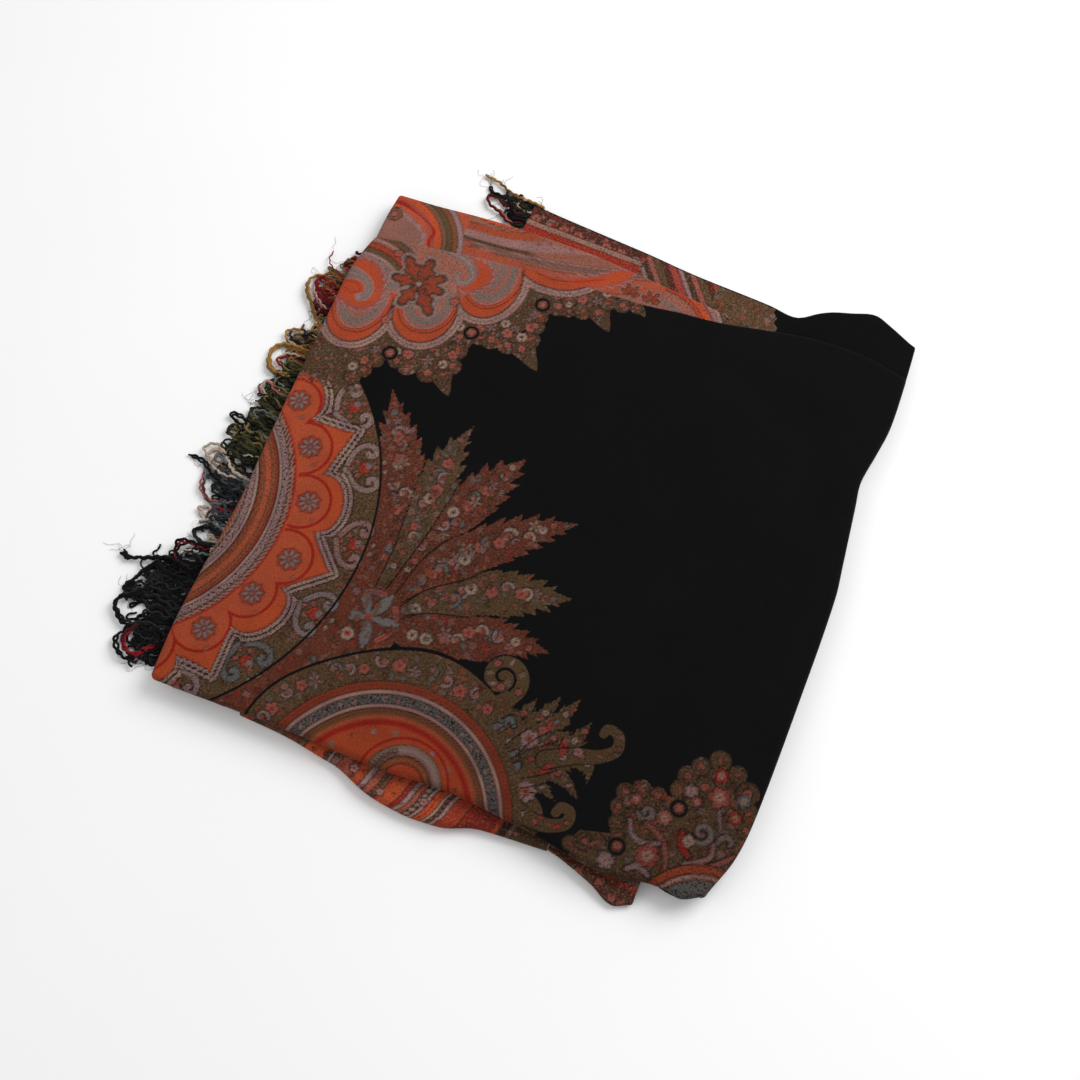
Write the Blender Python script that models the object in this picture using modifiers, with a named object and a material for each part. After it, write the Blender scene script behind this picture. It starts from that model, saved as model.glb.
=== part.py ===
"""A paisley shawl of fine wool, folded into a flat packet and laid on a table.

The shawl is one square cloth with a short fringe along its ends. It is folded
in four each way, so the packet is a quarter of the cloth's side. What shows is
modelled as stretches of thin cloth, each bent round its folds. What is hidden
between them is one solid, rounded in layers at its edges like the stack of
folds that it stands for.

The frame is +Z up, with the origin in the middle of the packet's flat
underside, X along the front fold and Y away from it. Measures here are in
millimetres, and MM turns them into metres.
"""

import math
from collections import namedtuple

import bmesh
import bpy
from mathutils import Vector

MM = 0.001
SHAWL_SIDE = 1780.0
FOLDS_EACH_WAY = 4
CLOTH = 1.2  # wall of one layer of the woven cloth
PANEL_EDGE_HEIGHT = 19.2  # top of the packet where it meets its folds
PANEL_DOME = 3.0  # how far the loose layers puff up in the middle

PACKET = SHAWL_SIDE / FOLDS_EACH_WAY
SIDE_LINE = PACKET / 2
FRONT_LINE = -212.5
BACK_LINE = FRONT_LINE + PACKET

# The folds don't lie quite on the packet's square. Each row is a place along
# an edge, and how far the cloth lies out past the square's line there.
Slip = namedtuple("Slip", "along out")


def slips(*rows):
    return [Slip(*row) for row in rows]


PANEL_LEFT = slips(
    (-214, -2.0), (-158, 1.9), (-61, 0.7), (-2, 4.0), (57, 6.5),
    (118, 8.8), (159, 9.8), (180, 7.0), (197, 2.5),
)
PANEL_RIGHT = slips(
    (-214, -16.5), (-205, -13.0), (-179, -4.0), (-147, -0.1), (-52, 1.9),
    (32, 1.9), (61, -1.1), (110, -6.7), (130, -8.9), (156, -5.0),
    (184, -1.3), (229, -1.9), (263, -3.5),
)
PANEL_FRONT = slips(
    (-222, 1.3), (-107, -0.6), (-34, 0.5), (11, -2.7), (67, 1.2), (92, 4.2),
    (119, 8.2), (149, 9.4), (163, 5.0), (180, 4.0), (192, 6.0), (206, -1.0),
)
PANEL_BACK = slips(
    (-224, -38.0), (-192, -32.1), (-158, -27.8), (-120, -22.9), (-69, -18.7),
    (0, -16.5), (33, -12.5), (66, -9.1), (106, -1.1), (146, 5.1),
    (188, 4.3), (219, -2.7),
)
SECOND_LEFT = slips((180, 3.1), (222, 4.2), (244, 3.1))
SECOND_BACK = slips(
    (-226, 11.2), (-190, 12.7), (-139, 16.8), (-83, 17.2), (-47, 15.9),
    (12, 9.7), (44, 6.0), (80, 1.3), (112, -1.5),
)
THIRD_BACK = slips(
    (-118, 49.1), (-66, 44.0), (-20, 40.2), (35, 34.0), (97, 30.1),
    (122, 27.0), (138, 34.5), (161, 42.2), (180, 48.0), (194, 42.7),
    (216, 31.5),
)
ROLL_FRONT = slips(
    (-150, 0.0), (-112, 2.0), (-82, 6.5), (-67, 9.0), (-40, 18.7),
    (-10, 22.6), (7, 22.0), (21, 20.2), (38, 13.5), (49, 11.4), (94, 8.0),
)
FLAP_FRONT = slips((95, 7.5), (105, 9.9), (131, 18.2), (149, 25.8), (163, 20.1))

# Where the shorter stretches start and end along X.
SECOND_END = 112.0
THIRD_START = -118.0
ROLL_START, ROLL_END = -150.0, 93.8
FLAP_START, FLAP_END = 94.6, 163.0

# The main soft ridges and troughs of the top, as straight runs on the plan.
Crease = namedtuple("Crease", "x0 y0 x1 y1 half_width height")
CREASES = (
    Crease(203, 175, 207, -60, 13, 1.3),
    Crease(-150, -196, 70, -190, 12, -1.1),
    Crease(-205, 60, -120, -60, 22, 0.8),
    Crease(60, 190, 190, 150, 20, -0.9),
    Crease(90, -150, 190, -60, 24, 0.9),
)


# ---------------------------------------------------------------- curves


def mix(a, b, t):
    return a + (b - a) * t


def smooth(low, high, value):
    """0 at low, 1 at high, and an easy slope between them."""
    t = min(1.0, max(0.0, (value - low) / (high - low)))
    return t * t * (3 - 2 * t)


def slip_at(rows, along):
    """The slip at any place along an edge: a smooth curve through its rows."""
    last = len(rows) - 1
    if along <= rows[0].along:
        return rows[0].out
    if along >= rows[last].along:
        return rows[last].out
    i = max(k for k in range(last) if rows[k].along <= along)
    here, there = rows[i], rows[i + 1]
    before, after = rows[max(i - 1, 0)], rows[min(i + 2, last)]
    step = there.along - here.along
    slope_here = (there.out - before.out) / (there.along - before.along) * step
    slope_there = (after.out - here.out) / (after.along - here.along) * step
    t = (along - here.along) / step
    return (
        mix(here.out, there.out, t * t * (3 - 2 * t))
        + t * (1 - t) ** 2 * slope_here
        - t * t * (1 - t) * slope_there
    )


def left_edge(rows, inset=0.0):
    return lambda y: -SIDE_LINE - slip_at(rows, y) + inset


def right_edge(rows, inset=0.0):
    return lambda y: SIDE_LINE + slip_at(rows, y) - inset


def front_edge(rows, inset=0.0):
    return lambda x: FRONT_LINE - slip_at(rows, x) + inset


def back_edge(rows, inset=0.0):
    return lambda x: BACK_LINE + slip_at(rows, x) - inset


def straight(value):
    return lambda along: value


# ---------------------------------------------------------------- heights


def crease_height(crease, x, y):
    """Rise or dip that one soft crease gives to the cloth at a point."""
    run_x, run_y = crease.x1 - crease.x0, crease.y1 - crease.y0
    length = math.hypot(run_x, run_y)
    along = ((x - crease.x0) * run_x + (y - crease.y0) * run_y) / length**2
    across = ((y - crease.y0) * run_x - (x - crease.x0) * run_y) / length
    fade = smooth(0, 0.3, along) * smooth(1, 0.7, along)
    return crease.height * fade * math.exp(-((across / crease.half_width) ** 2))


def panel_height(x, y):
    middle = (FRONT_LINE + back_edge(PANEL_BACK)(x)) / 2
    half_depth = middle - FRONT_LINE
    puff_x = 1 - min(1.0, abs(x / SIDE_LINE)) ** 3
    puff_y = 1 - min(1.0, abs((y - middle) / half_depth)) ** 3
    puff = puff_x * puff_y
    creased = sum(crease_height(crease, x, y) for crease in CREASES)
    return PANEL_EDGE_HEIGHT + PANEL_DOME * puff + creased * smooth(0, 0.25, puff)


def second_height(x, y):
    return 15.1 - 0.5 * smooth(0, 40, y - back_edge(PANEL_BACK)(x))


def third_height(x, y):
    """Low behind the second stretch, and raised onto the stack past its end."""
    return 6.0 + 8.4 * smooth(114, 152, x)


def roll_height(x, y):
    return 9.9 + 0.9 * smooth(1.5, 12, front_edge(PANEL_FRONT)(x) - y)


def flap_height(x, y):
    return 9.9 - 4.4 * smooth(1, 18, front_edge(PANEL_FRONT)(x) - y)


# ---------------------------------------------------------------- cloth

# A stretch's plan: its four edges, and the radius of the fold on each side
# that turns down (0 where the cloth stays flat).
Sides = namedtuple("Sides", "left right front back")
Stretch = namedtuple("Stretch", "name edges radii wrap height cells colour")
CURL_CELLS = 4
CORNER = 12.0  # how far from a corner the cloth below steers clear of its fold


def plan_point(edges, radii, share_x, share_y):
    """Where a share of the way across and along a stretch lies on its plan."""
    x = y = 0.0
    for _ in range(4):
        x = mix(edges.left(y) + radii.left, edges.right(y) - radii.right, share_x)
        y = mix(edges.front(x) + radii.front, edges.back(x) - radii.back, share_y)
    return x, y


# One step across a stretch: the share of its flat part, the side of the fold
# (-1, 0 or 1), and the share of the turn round that fold.
Step = namedtuple("Step", "share side turn")


def steps_across(cells, low_fold, high_fold):
    steps = [Step(k / cells, 0, 0.0) for k in range(cells + 1)]
    turns = [(k + 1) / CURL_CELLS for k in range(CURL_CELLS)]
    if low_fold:
        steps = [Step(0.0, -1, turn) for turn in reversed(turns)] + steps
    if high_fold:
        steps += [Step(1.0, 1, turn) for turn in turns]
    return steps


def cloth_point(stretch, across, along):
    """The cloth's outer face at one step across and one step along."""
    radii = stretch.radii
    x, y = plan_point(stretch.edges, radii, across.share, along.share)
    top = stretch.height(x, y)
    turn = max(across.turn, along.turn)
    # At a corner the fold swings round from one side to the other.
    swing = math.atan2(along.turn, across.turn)
    radius_x = radii.left if across.side < 0 else radii.right
    radius_y = radii.front if along.side < 0 else radii.back
    drop_radius = radius_x * math.cos(swing) ** 2 + radius_y * math.sin(swing) ** 2
    angle = math.radians(stretch.wrap) * turn
    out_x = across.side * radius_x * math.cos(swing) * math.sin(angle)
    out_y = along.side * radius_y * math.sin(swing) * math.sin(angle)
    return x + out_x, y + out_y, top - drop_radius * (1 - math.cos(angle))


def make_stretch(stretch):
    """A grid bent into the cloth's outer face, with its wall turned inwards."""
    across = steps_across(stretch.cells[0], stretch.radii.left, stretch.radii.right)
    along = steps_across(stretch.cells[1], stretch.radii.front, stretch.radii.back)
    bm = bmesh.new()
    bmesh.ops.create_grid(
        bm, x_segments=len(across) - 1, y_segments=len(along) - 1, size=0.5
    )
    for vertex in bm.verts:
        step_x = across[round((vertex.co.x + 0.5) * (len(across) - 1))]
        step_y = along[round((vertex.co.y + 0.5) * (len(along) - 1))]
        vertex.co = Vector(cloth_point(stretch, step_x, step_y)) * MM
    obj = add_object(stretch.name, bm, stretch.colour)
    wall = obj.modifiers.new("Cloth wall", "SOLIDIFY")
    wall.thickness = CLOTH * MM
    wall.offset = -1.0
    wall.use_even_offset = True


UNDER_PANEL = 5.0  # how far a lower stretch runs in under the edge above it
UNDER_SECOND = 12.0


def tucked_front(x):
    """Inner edge of the stretches under the panel, clear of its corner folds."""
    outside = smooth(SIDE_LINE - CORNER, SIDE_LINE - CORNER / 2, abs(x))
    return back_edge(PANEL_BACK)(x) + mix(-UNDER_PANEL, 1.1, outside)


def third_front(x):
    under_second = back_edge(SECOND_BACK, UNDER_SECOND)(x)
    return mix(under_second, tucked_front(x), smooth(95, 125, x))


STRETCHES = (
    Stretch(
        "top_panel",
        Sides(left_edge(PANEL_LEFT), right_edge(PANEL_RIGHT),
              front_edge(PANEL_FRONT), back_edge(PANEL_BACK)),
        Sides(4.5, 4.5, 4.5, 2.2), 140, panel_height, (24, 22), (0.018, 0.017, 0.017),
    ),
    Stretch(
        "second_stretch",
        Sides(left_edge(SECOND_LEFT), straight(SECOND_END),
              tucked_front, back_edge(SECOND_BACK)),
        Sides(2.6, 0, 0, 3.4), 140, second_height, (26, 4), (0.45, 0.09, 0.04),
    ),
    Stretch(
        "third_stretch",
        Sides(straight(THIRD_START), right_edge(PANEL_RIGHT),
              third_front, back_edge(THIRD_BACK)),
        Sides(0, 2.4, 0, 2.4), 130, third_height, (30, 3), (0.10, 0.03, 0.025),
    ),
    Stretch(
        "front_roll",
        Sides(straight(ROLL_START), straight(ROLL_END),
              front_edge(ROLL_FRONT), straight(-205.0)),
        Sides(0, 0, 5.0, 0), 150, roll_height, (24, 4), (0.42, 0.10, 0.05),
    ),
    Stretch(
        "front_flap",
        Sides(straight(FLAP_START), straight(FLAP_END),
              front_edge(FLAP_FRONT), straight(-206.0)),
        Sides(0, 2.2, 2.2, 0), 125, flap_height, (8, 4), (0.25, 0.09, 0.04),
    ),
)


# ---------------------------------------------------------------- hidden layers

LEFT_IN = 4.8  # the stack stands back under the left fold, where the fringe is
OTHER_IN = 1.6
UPPER_IN = 6.2  # the upper layers lie inside the top panel's folds
BEHIND_ROLL = -204.4  # the stack's front where the roll and the flap wrap it

# Where the rings have points, closer where a lower stretch starts or ends.
STATIONS_X = (
    -205, -190, -175, -158, -151, -135, -116, -110, -90, -70, -50, -30, -10,
    10, 30, 50, 70, 90, 105, 122, 136, 146, 152, 160, 164, 170, 180, 190,
)
STATIONS_Y = (-196, -180, -150, -120, -90, -60, -30, 0, 30, 60, 90, 120, 145, 165, 180)


def stack_front(inset):
    def edge(x):
        behind = smooth(-158, -151, x) * smooth(170, 164, x)
        return mix(front_edge(PANEL_FRONT, inset)(x), BEHIND_ROLL, behind)

    return edge


def low_back(x):
    under_second = back_edge(SECOND_BACK, 5.0)(x)
    return mix(under_second, back_edge(THIRD_BACK, 4.6)(x), smooth(-116, -110, x))


def stepped_back(raised_from, raised_to):
    """Under the second stretch, then clear of the third, then under its raised end."""

    def edge(x):
        start = back_edge(SECOND_BACK, 5.5)(x)
        beside_third = mix(start, third_front(x) - 2.0, smooth(-135, -116, x))
        raised = smooth(raised_from, raised_to, x)
        return mix(beside_third, back_edge(THIRD_BACK, 4.6)(x), raised)

    return edge


# The stack's four bundles of folds, from the table up.
LOWER_SIDES = (left_edge(PANEL_LEFT, LEFT_IN), right_edge(PANEL_RIGHT, OTHER_IN))
UPPER_SIDES = (left_edge(PANEL_LEFT, UPPER_IN), right_edge(PANEL_RIGHT, UPPER_IN))
LOW = Sides(*LOWER_SIDES, stack_front(OTHER_IN), low_back)
MIDDLE = Sides(*LOWER_SIDES, stack_front(OTHER_IN), stepped_back(136, 146))
INNER = Sides(*UPPER_SIDES, stack_front(UPPER_IN), stepped_back(152, 160))
TOP = Sides(*UPPER_SIDES, front_edge(PANEL_FRONT, UPPER_IN), back_edge(PANEL_BACK, UPPER_IN))

Ring = namedtuple("Ring", "bundle inset height")
RINGS = (
    Ring(LOW, 2.4, 0.0), Ring(LOW, 0.5, 0.8), Ring(LOW, 0.0, 2.1),
    Ring(LOW, 0.6, 3.4), Ring(LOW, 2.6, 4.1),
    Ring(MIDDLE, 2.6, 4.4), Ring(MIDDLE, 0.6, 5.1), Ring(MIDDLE, 0.0, 6.4),
    Ring(MIDDLE, 0.6, 7.6), Ring(MIDDLE, 2.6, 8.3),
    Ring(INNER, 1.8, 8.6), Ring(INNER, 0.0, 10.6), Ring(INNER, 1.6, 12.7),
    Ring(TOP, 1.6, 12.9), Ring(TOP, 0.0, 15.2), Ring(TOP, 1.8, 17.5),
)


def ring_points(ring):
    """One turn round a bundle, with the same number of points at every height."""
    edges = ring.bundle
    insets = Sides(*[ring.inset] * 4)

    def corner(share_x, share_y):
        return plan_point(edges, insets, share_x, share_y)

    front = [(x, edges.front(x) + ring.inset) for x in STATIONS_X]
    back = [(x, edges.back(x) - ring.inset) for x in STATIONS_X]
    left = [(edges.left(y) + ring.inset, y) for y in STATIONS_Y]
    right = [(edges.right(y) - ring.inset, y) for y in STATIONS_Y]
    turn = [corner(0, 0), *left, corner(0, 1), *back]
    turn += [corner(1, 1), *reversed(right), corner(1, 0), *reversed(front)]
    return [Vector((x, y, ring.height)) * MM for x, y in turn]


def make_hidden_layers():
    """The stack that carries the visible cloth: a loft through its rings."""
    bm = bmesh.new()
    rings = [[bm.verts.new(point) for point in ring_points(ring)] for ring in RINGS]
    for below, above in zip(rings, rings[1:]):
        for k, vertex in enumerate(below):
            bm.faces.new((vertex, above[k], above[k - 1], below[k - 1]))
    bm.faces.new(rings[0])
    bm.faces.new(rings[-1])
    bmesh.ops.recalc_face_normals(bm, faces=bm.faces)
    add_object("hidden_layers", bm, (0.16, 0.06, 0.035))


# ---------------------------------------------------------------- fringe

STRIP_IN = 1.4  # the strip's face, in under the left fold
STRIP_DEPTH = 2.8
STRIP_HEIGHTS = (1.0, 4.4)
LOCK_RADIUS = 1.15
LOCK_STEPS = 7
LOCK_WAVE = 1.9
FLOOR_GAP = 0.4

# A run of fringe: where it starts and ends along Y, how many locks it has, and
# the line that their tips reach, as Y and the reach in X.
Tip = namedtuple("Tip", "along out")
Fringe = namedtuple("Fringe", "name face start end locks tips lift wave colour")
LEFT_FACE = left_edge(PANEL_LEFT, STRIP_IN)
FRINGES = (
    Fringe(
        "fringe_black", LEFT_FACE, -198, -108, 17,
        (Tip(-201, -251), Tip(-183, -265), Tip(-160, -279), Tip(-133, -286),
         Tip(-117, -262), Tip(-106, -243)),
        0.0, 0.4, (0.012, 0.012, 0.013),
    ),
    Fringe(
        "fringe_blue", LEFT_FACE, -102, -42, 11,
        (Tip(-100, -236), Tip(-82, -245), Tip(-67, -246), Tip(-50, -272),
         Tip(-36, -283)),
        0.0, 1.3, (0.10, 0.13, 0.14),
    ),
    Fringe(
        "fringe_green", LEFT_FACE, -34, 70, 19,
        (Tip(-22, -280), Tip(5, -271), Tip(16, -264), Tip(37, -263),
         Tip(51, -261), Tip(68, -254)),
        0.0, 2.0, (0.05, 0.06, 0.03),
    ),
    Fringe(
        "fringe_gold", LEFT_FACE, 76, 112, 7,
        (Tip(76, -264), Tip(88, -270), Tip(98, -251), Tip(108, -242)),
        0.0, 2.9, (0.42, 0.26, 0.07),
    ),
    Fringe(
        "fringe_red", LEFT_FACE, 118, 178, 11,
        (Tip(117, -254), Tip(133, -263), Tip(150, -264), Tip(164, -259), Tip(177, -254)),
        0.0, 3.6, (0.32, 0.02, 0.03),
    ),
    Fringe(
        "fringe_back", straight(THIRD_START - STRIP_DEPTH - 0.4), 254, 278, 5,
        (Tip(259, -146), Tip(270, -156), Tip(286, -163)),
        1.6, 5.0, (0.06, 0.05, 0.04),
    ),
)


def lock_path(fringe, share):
    """The middle line of one lock, from its root to its tip."""
    root_y = mix(fringe.start, fringe.end, share)
    tip_y = mix(fringe.tips[0].along, fringe.tips[-1].along, share)
    root_z = sum(STRIP_HEIGHTS) / 2 + fringe.lift
    root = Vector((fringe.face(root_y), root_y, root_z))
    tip = Vector((slip_at(fringe.tips, tip_y), tip_y, FLOOR_GAP + LOCK_RADIUS))
    points = []
    for k in range(1, LOCK_STEPS + 1):
        t = k / LOCK_STEPS
        point = root.lerp(tip, t)
        point.z = mix(root.z, tip.z, smooth(0, 0.45, t))
        point.y += LOCK_WAVE * t * math.sin(fringe.wave + 6.5 * t + 1.5 * share)
        points.append(point)
    return points


def make_fringe(fringe):
    """A strip along the cloth's edge, with a lock drawn out of each of its cells."""
    low, high = (height + fringe.lift for height in STRIP_HEIGHTS)
    bm = bmesh.new()
    bmesh.ops.create_grid(bm, x_segments=fringe.locks, y_segments=1, size=0.5)
    for vertex in bm.verts:
        y = mix(fringe.start, fringe.end, vertex.co.x + 0.5)
        z = mix(low, high, vertex.co.y + 0.5)
        vertex.co = Vector((fringe.face(y), y, z)) * MM
    cells = sorted(bm.faces, key=lambda face: face.calc_center_median().y)
    inside = bmesh.ops.extrude_face_region(bm, geom=bm.faces[:], use_keep_orig=True)
    inner = [item for item in inside["geom"] if isinstance(item, bmesh.types.BMVert)]
    bmesh.ops.translate(bm, verts=inner, vec=(STRIP_DEPTH * MM, 0, 0))
    for k, cell in enumerate(cells):
        draw_lock(bm, cell, lock_path(fringe, (k + 0.5) / fringe.locks))
    bmesh.ops.recalc_face_normals(bm, faces=bm.faces)
    add_object(fringe.name, bm, fringe.colour)


def draw_lock(bm, cell, path):
    """Extrudes a strip's cell along a path, as a square lock that thins to its tip."""
    before = Vector((path[0].x + 1.0, path[0].y, 0))
    for k, point in enumerate(path):
        heading = (point - before).to_2d().normalized()
        aside = Vector((-heading.y, heading.x, 0))
        before = point
        radius = LOCK_RADIUS * mix(1.0, 0.6, k / len(path))
        cell = bmesh.ops.extrude_discrete_faces(bm, faces=[cell])["faces"][0]
        middle = cell.calc_center_median()
        for vertex in cell.verts:
            sideways = math.copysign(radius, (vertex.co - middle).dot(aside))
            upwards = math.copysign(radius, vertex.co.z - middle.z)
            vertex.co = (point + aside * sideways + Vector((0, 0, upwards))) * MM


# ---------------------------------------------------------------- scene


def cloth_material(name, colour):
    material = bpy.data.materials.new(name)
    material.use_nodes = True
    shader = material.node_tree.nodes["Principled BSDF"]
    shader.inputs["Base Color"].default_value = (*colour, 1.0)
    shader.inputs["Roughness"].default_value = 0.9
    shader.inputs["Metallic"].default_value = 0.0
    return material


def add_object(name, bm, colour):
    """Keeps a finished bmesh as a named object of the shawl."""
    mesh = bpy.data.meshes.new(name)
    bm.to_mesh(mesh)
    bm.free()
    mesh.shade_smooth()
    mesh.set_sharp_from_angle(angle=math.radians(50))
    mesh.materials.append(cloth_material(name, colour))
    obj = bpy.data.objects.new(name, mesh)
    SHAWL.objects.link(obj)
    return obj


for old in list(bpy.data.objects):
    bpy.data.objects.remove(old)
SHAWL = bpy.data.collections.new("folded_paisley_shawl")
bpy.context.scene.collection.children.link(SHAWL)

make_hidden_layers()
for each in STRETCHES:
    make_stretch(each)
for each in FRINGES:
    make_fringe(each)
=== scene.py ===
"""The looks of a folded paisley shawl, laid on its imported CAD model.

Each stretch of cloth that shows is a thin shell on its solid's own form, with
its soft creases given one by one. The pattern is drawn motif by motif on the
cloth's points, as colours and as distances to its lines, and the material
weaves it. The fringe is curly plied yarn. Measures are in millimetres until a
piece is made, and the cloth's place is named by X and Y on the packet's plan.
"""

import math
from collections import namedtuple
from functools import partial

import bmesh
import bpy
import numpy as np
from mathutils import Matrix, Vector


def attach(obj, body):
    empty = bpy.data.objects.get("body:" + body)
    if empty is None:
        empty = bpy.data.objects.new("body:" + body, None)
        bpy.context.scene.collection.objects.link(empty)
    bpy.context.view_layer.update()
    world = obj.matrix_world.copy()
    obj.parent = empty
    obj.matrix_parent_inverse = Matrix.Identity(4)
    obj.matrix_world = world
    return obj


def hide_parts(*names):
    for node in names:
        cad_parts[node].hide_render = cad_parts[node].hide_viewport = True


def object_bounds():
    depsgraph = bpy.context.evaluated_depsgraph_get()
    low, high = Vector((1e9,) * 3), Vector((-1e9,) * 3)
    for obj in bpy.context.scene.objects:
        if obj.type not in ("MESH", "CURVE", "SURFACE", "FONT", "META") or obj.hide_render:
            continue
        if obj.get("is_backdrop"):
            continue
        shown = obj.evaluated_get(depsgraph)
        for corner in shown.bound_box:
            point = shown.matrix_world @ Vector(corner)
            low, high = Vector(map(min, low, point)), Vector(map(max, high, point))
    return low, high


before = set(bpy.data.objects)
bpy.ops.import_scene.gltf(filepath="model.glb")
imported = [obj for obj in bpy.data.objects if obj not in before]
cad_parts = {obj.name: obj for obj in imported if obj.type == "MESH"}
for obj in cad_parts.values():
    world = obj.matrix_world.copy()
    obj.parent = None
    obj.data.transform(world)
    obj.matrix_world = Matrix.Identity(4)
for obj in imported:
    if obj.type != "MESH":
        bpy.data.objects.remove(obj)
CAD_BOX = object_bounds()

MM = 0.001
PACKET = 445.0
SIDE_LINE = PACKET / 2
FRONT_LINE = -212.5
BACK_LINE = FRONT_LINE + PACKET


# ---------------- the folds' lines

# How far each fold lies out past the packet's square, as (place along it, out).
PANEL_LEFT = (
    (-214, -2), (-158, 1.9), (-61, 0.7), (-2, 4), (57, 6.5),
    (118, 8.8), (159, 9.8), (180, 7), (197, 2.5),
)
PANEL_RIGHT = (
    (-214, -16.5), (-205, -13), (-179, -4), (-147, -0.1), (-52, 1.9),
    (32, 1.9), (61, -1.1), (110, -6.7), (130, -8.9), (156, -5),
    (184, -1.3), (229, -1.9), (263, -3.5),
)
PANEL_FRONT = (
    (-222, 1.3), (-107, -0.6), (-34, 0.5), (11, -2.7), (67, 1.2), (92, 4.2),
    (119, 8.2), (149, 9.4), (163, 5), (180, 4), (192, 6), (206, -1),
)
PANEL_BACK = (
    (-224, -38), (-192, -32.1), (-158, -27.8), (-120, -22.9), (-69, -18.7),
    (0, -16.5), (33, -12.5), (66, -9.1), (106, -1.1), (146, 5.1),
    (188, 4.3), (219, -2.7),
)
SECOND_LEFT = ((180, 3.1), (222, 4.2), (244, 3.1))
SECOND_BACK = (
    (-226, 11.2), (-190, 12.7), (-139, 16.8), (-83, 17.2), (-47, 15.9),
    (12, 9.7), (44, 6), (80, 1.3), (112, -1.5),
)
THIRD_BACK = (
    (-118, 49.1), (-66, 44), (-20, 40.2), (35, 34), (97, 30.1),
    (122, 27), (138, 34.5), (161, 42.2), (180, 48), (194, 42.7), (216, 31.5),
)
ROLL_FRONT = (
    (-150, 0), (-112, 2), (-82, 6.5), (-67, 9), (-40, 18.7),
    (-10, 22.6), (7, 22), (21, 20.2), (38, 13.5), (49, 11.4), (94, 8),
)
FLAP_FRONT = ((95, 7.5), (105, 9.9), (131, 18.2), (149, 25.8), (163, 20.1))

# Soft ridges (+) and troughs (-) of the top: a run on the plan as x0, y0, x1, y1, then
# its half width and its height, the main ones first.
CREASES = (
    (203, 175, 207, -60, 13, 1.3), (-150, -196, 70, -190, 12, -1.1), (-205, 60, -120, -60, 22, 0.8),
    (60, 190, 190, 150, 20, -0.9), (90, -150, 190, -60, 24, 0.9), (150, 200, 214, 120, 7, 0.5),
    (120, 60, 205, 30, 11, -0.45), (60, 120, 40, -60, 16, 0.4), (180, -20, 196, -150, 9, -0.55),
    (-60, 160, 60, 130, 10, 0.35), (-190, -60, -150, -170, 9, 0.4), (-120, 120, -60, 60, 12, -0.4),
    (20, -40, 110, -20, 12, 0.35), (130, -190, 170, -120, 8, 0.5), (-40, -80, 30, -150, 9, -0.35),
)


def mix(a, b, t):
    return a + (b - a) * t


def smooth(low, high, value):
    """0 at low, 1 at high, and an easy slope between them."""
    t = np.clip((value - low) / (high - low), 0.0, 1.0)
    return t * t * (3 - 2 * t)


def easy_curve(knots, places, slopes, at):
    """The smooth curve with these knots and slopes at its places, read at some spots."""
    k = np.clip(np.searchsorted(places, at, "right") - 1, 0, len(knots) - 2)
    step = (places[k + 1] - places[k])[:, None]
    t = (at - places[k])[:, None] / step
    curve = mix(knots[k], knots[k + 1], t * t * (3 - 2 * t))
    return curve + t * (1 - t) ** 2 * slopes[k] * step - t * t * (1 - t) * slopes[k + 1] * step


def fold(line, outward, rows, inset=0.0):
    """Where a fold runs: its rows tell how far outward of the packet's line it lies."""
    rows = np.array(rows, float)
    along = rows[:, 0]
    step = np.vstack([rows[1:], rows[-1:]]) - np.vstack([rows[:1], rows[:-1]])
    at = np.linspace(along[0], along[-1], 900)
    out = easy_curve(rows[:, 1:], along, step[:, 1:] / step[:, :1], at)[:, 0] - inset
    return lambda place: line + outward * np.interp(place, at, out)


left_of = partial(fold, -SIDE_LINE, -1)
right_of = partial(fold, SIDE_LINE, 1)
front_of = partial(fold, FRONT_LINE, -1)
back_of = partial(fold, BACK_LINE, 1)


def straight(value):
    return lambda place: value + 0.0 * place


def seeded(seed):
    return np.random.default_rng(seed)


RIPPLE_WAVES = 7


def ripple(x, y, seed, wavelength):
    """Soft unevenness between about -1 and 1, made of a few crossing waves."""
    rng = seeded(seed)
    total = 0.0 * x
    for _ in range(RIPPLE_WAVES):
        angle, phase = rng.uniform(0, math.tau, 2)
        pace = math.tau / (wavelength * rng.uniform(0.7, 1.5))
        total += np.sin(pace * (x * math.cos(angle) + y * math.sin(angle)) + phase)
    return total / RIPPLE_WAVES**0.5 / 1.4


# ---------------- heights

PANEL_BACK_EDGE = back_of(PANEL_BACK)
PANEL_FRONT_EDGE = front_of(PANEL_FRONT)


def crease_rise(x, y, x0, y0, x1, y1, half_width, height):
    run_x, run_y = x1 - x0, y1 - y0
    length = math.hypot(run_x, run_y)
    along = ((x - x0) * run_x + (y - y0) * run_y) / length**2
    across = ((y - y0) * run_x - (x - x0) * run_y) / length
    fade = smooth(0, 0.3, along) * smooth(1, 0.7, along)
    return height * fade * np.exp(-((across / half_width) ** 2))


def panel_height(x, y):
    middle = (FRONT_LINE + PANEL_BACK_EDGE(x)) / 2
    half_depth = middle - FRONT_LINE
    puff_x = 1 - np.minimum(1.0, abs(x / SIDE_LINE)) ** 3
    puff_y = 1 - np.minimum(1.0, abs((y - middle) / half_depth)) ** 3
    puff = puff_x * puff_y
    creased = sum(crease_rise(x, y, *crease) for crease in CREASES)
    uneven = 0.35 * ripple(x, y, 3, 85) + 0.12 * ripple(x, y, 4, 30)
    return 19.2 + 3.0 * puff + creased * smooth(0, 0.25, puff) + uneven


def second_height(x, y):
    return 15.1 - 0.5 * smooth(0, 40, y - PANEL_BACK_EDGE(x)) + 0.2 * ripple(x, y, 5, 45)


def third_height(x, y):
    return 6.0 + 8.4 * smooth(114, 152, x) + 0.25 * ripple(x, y, 6, 50)


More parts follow.
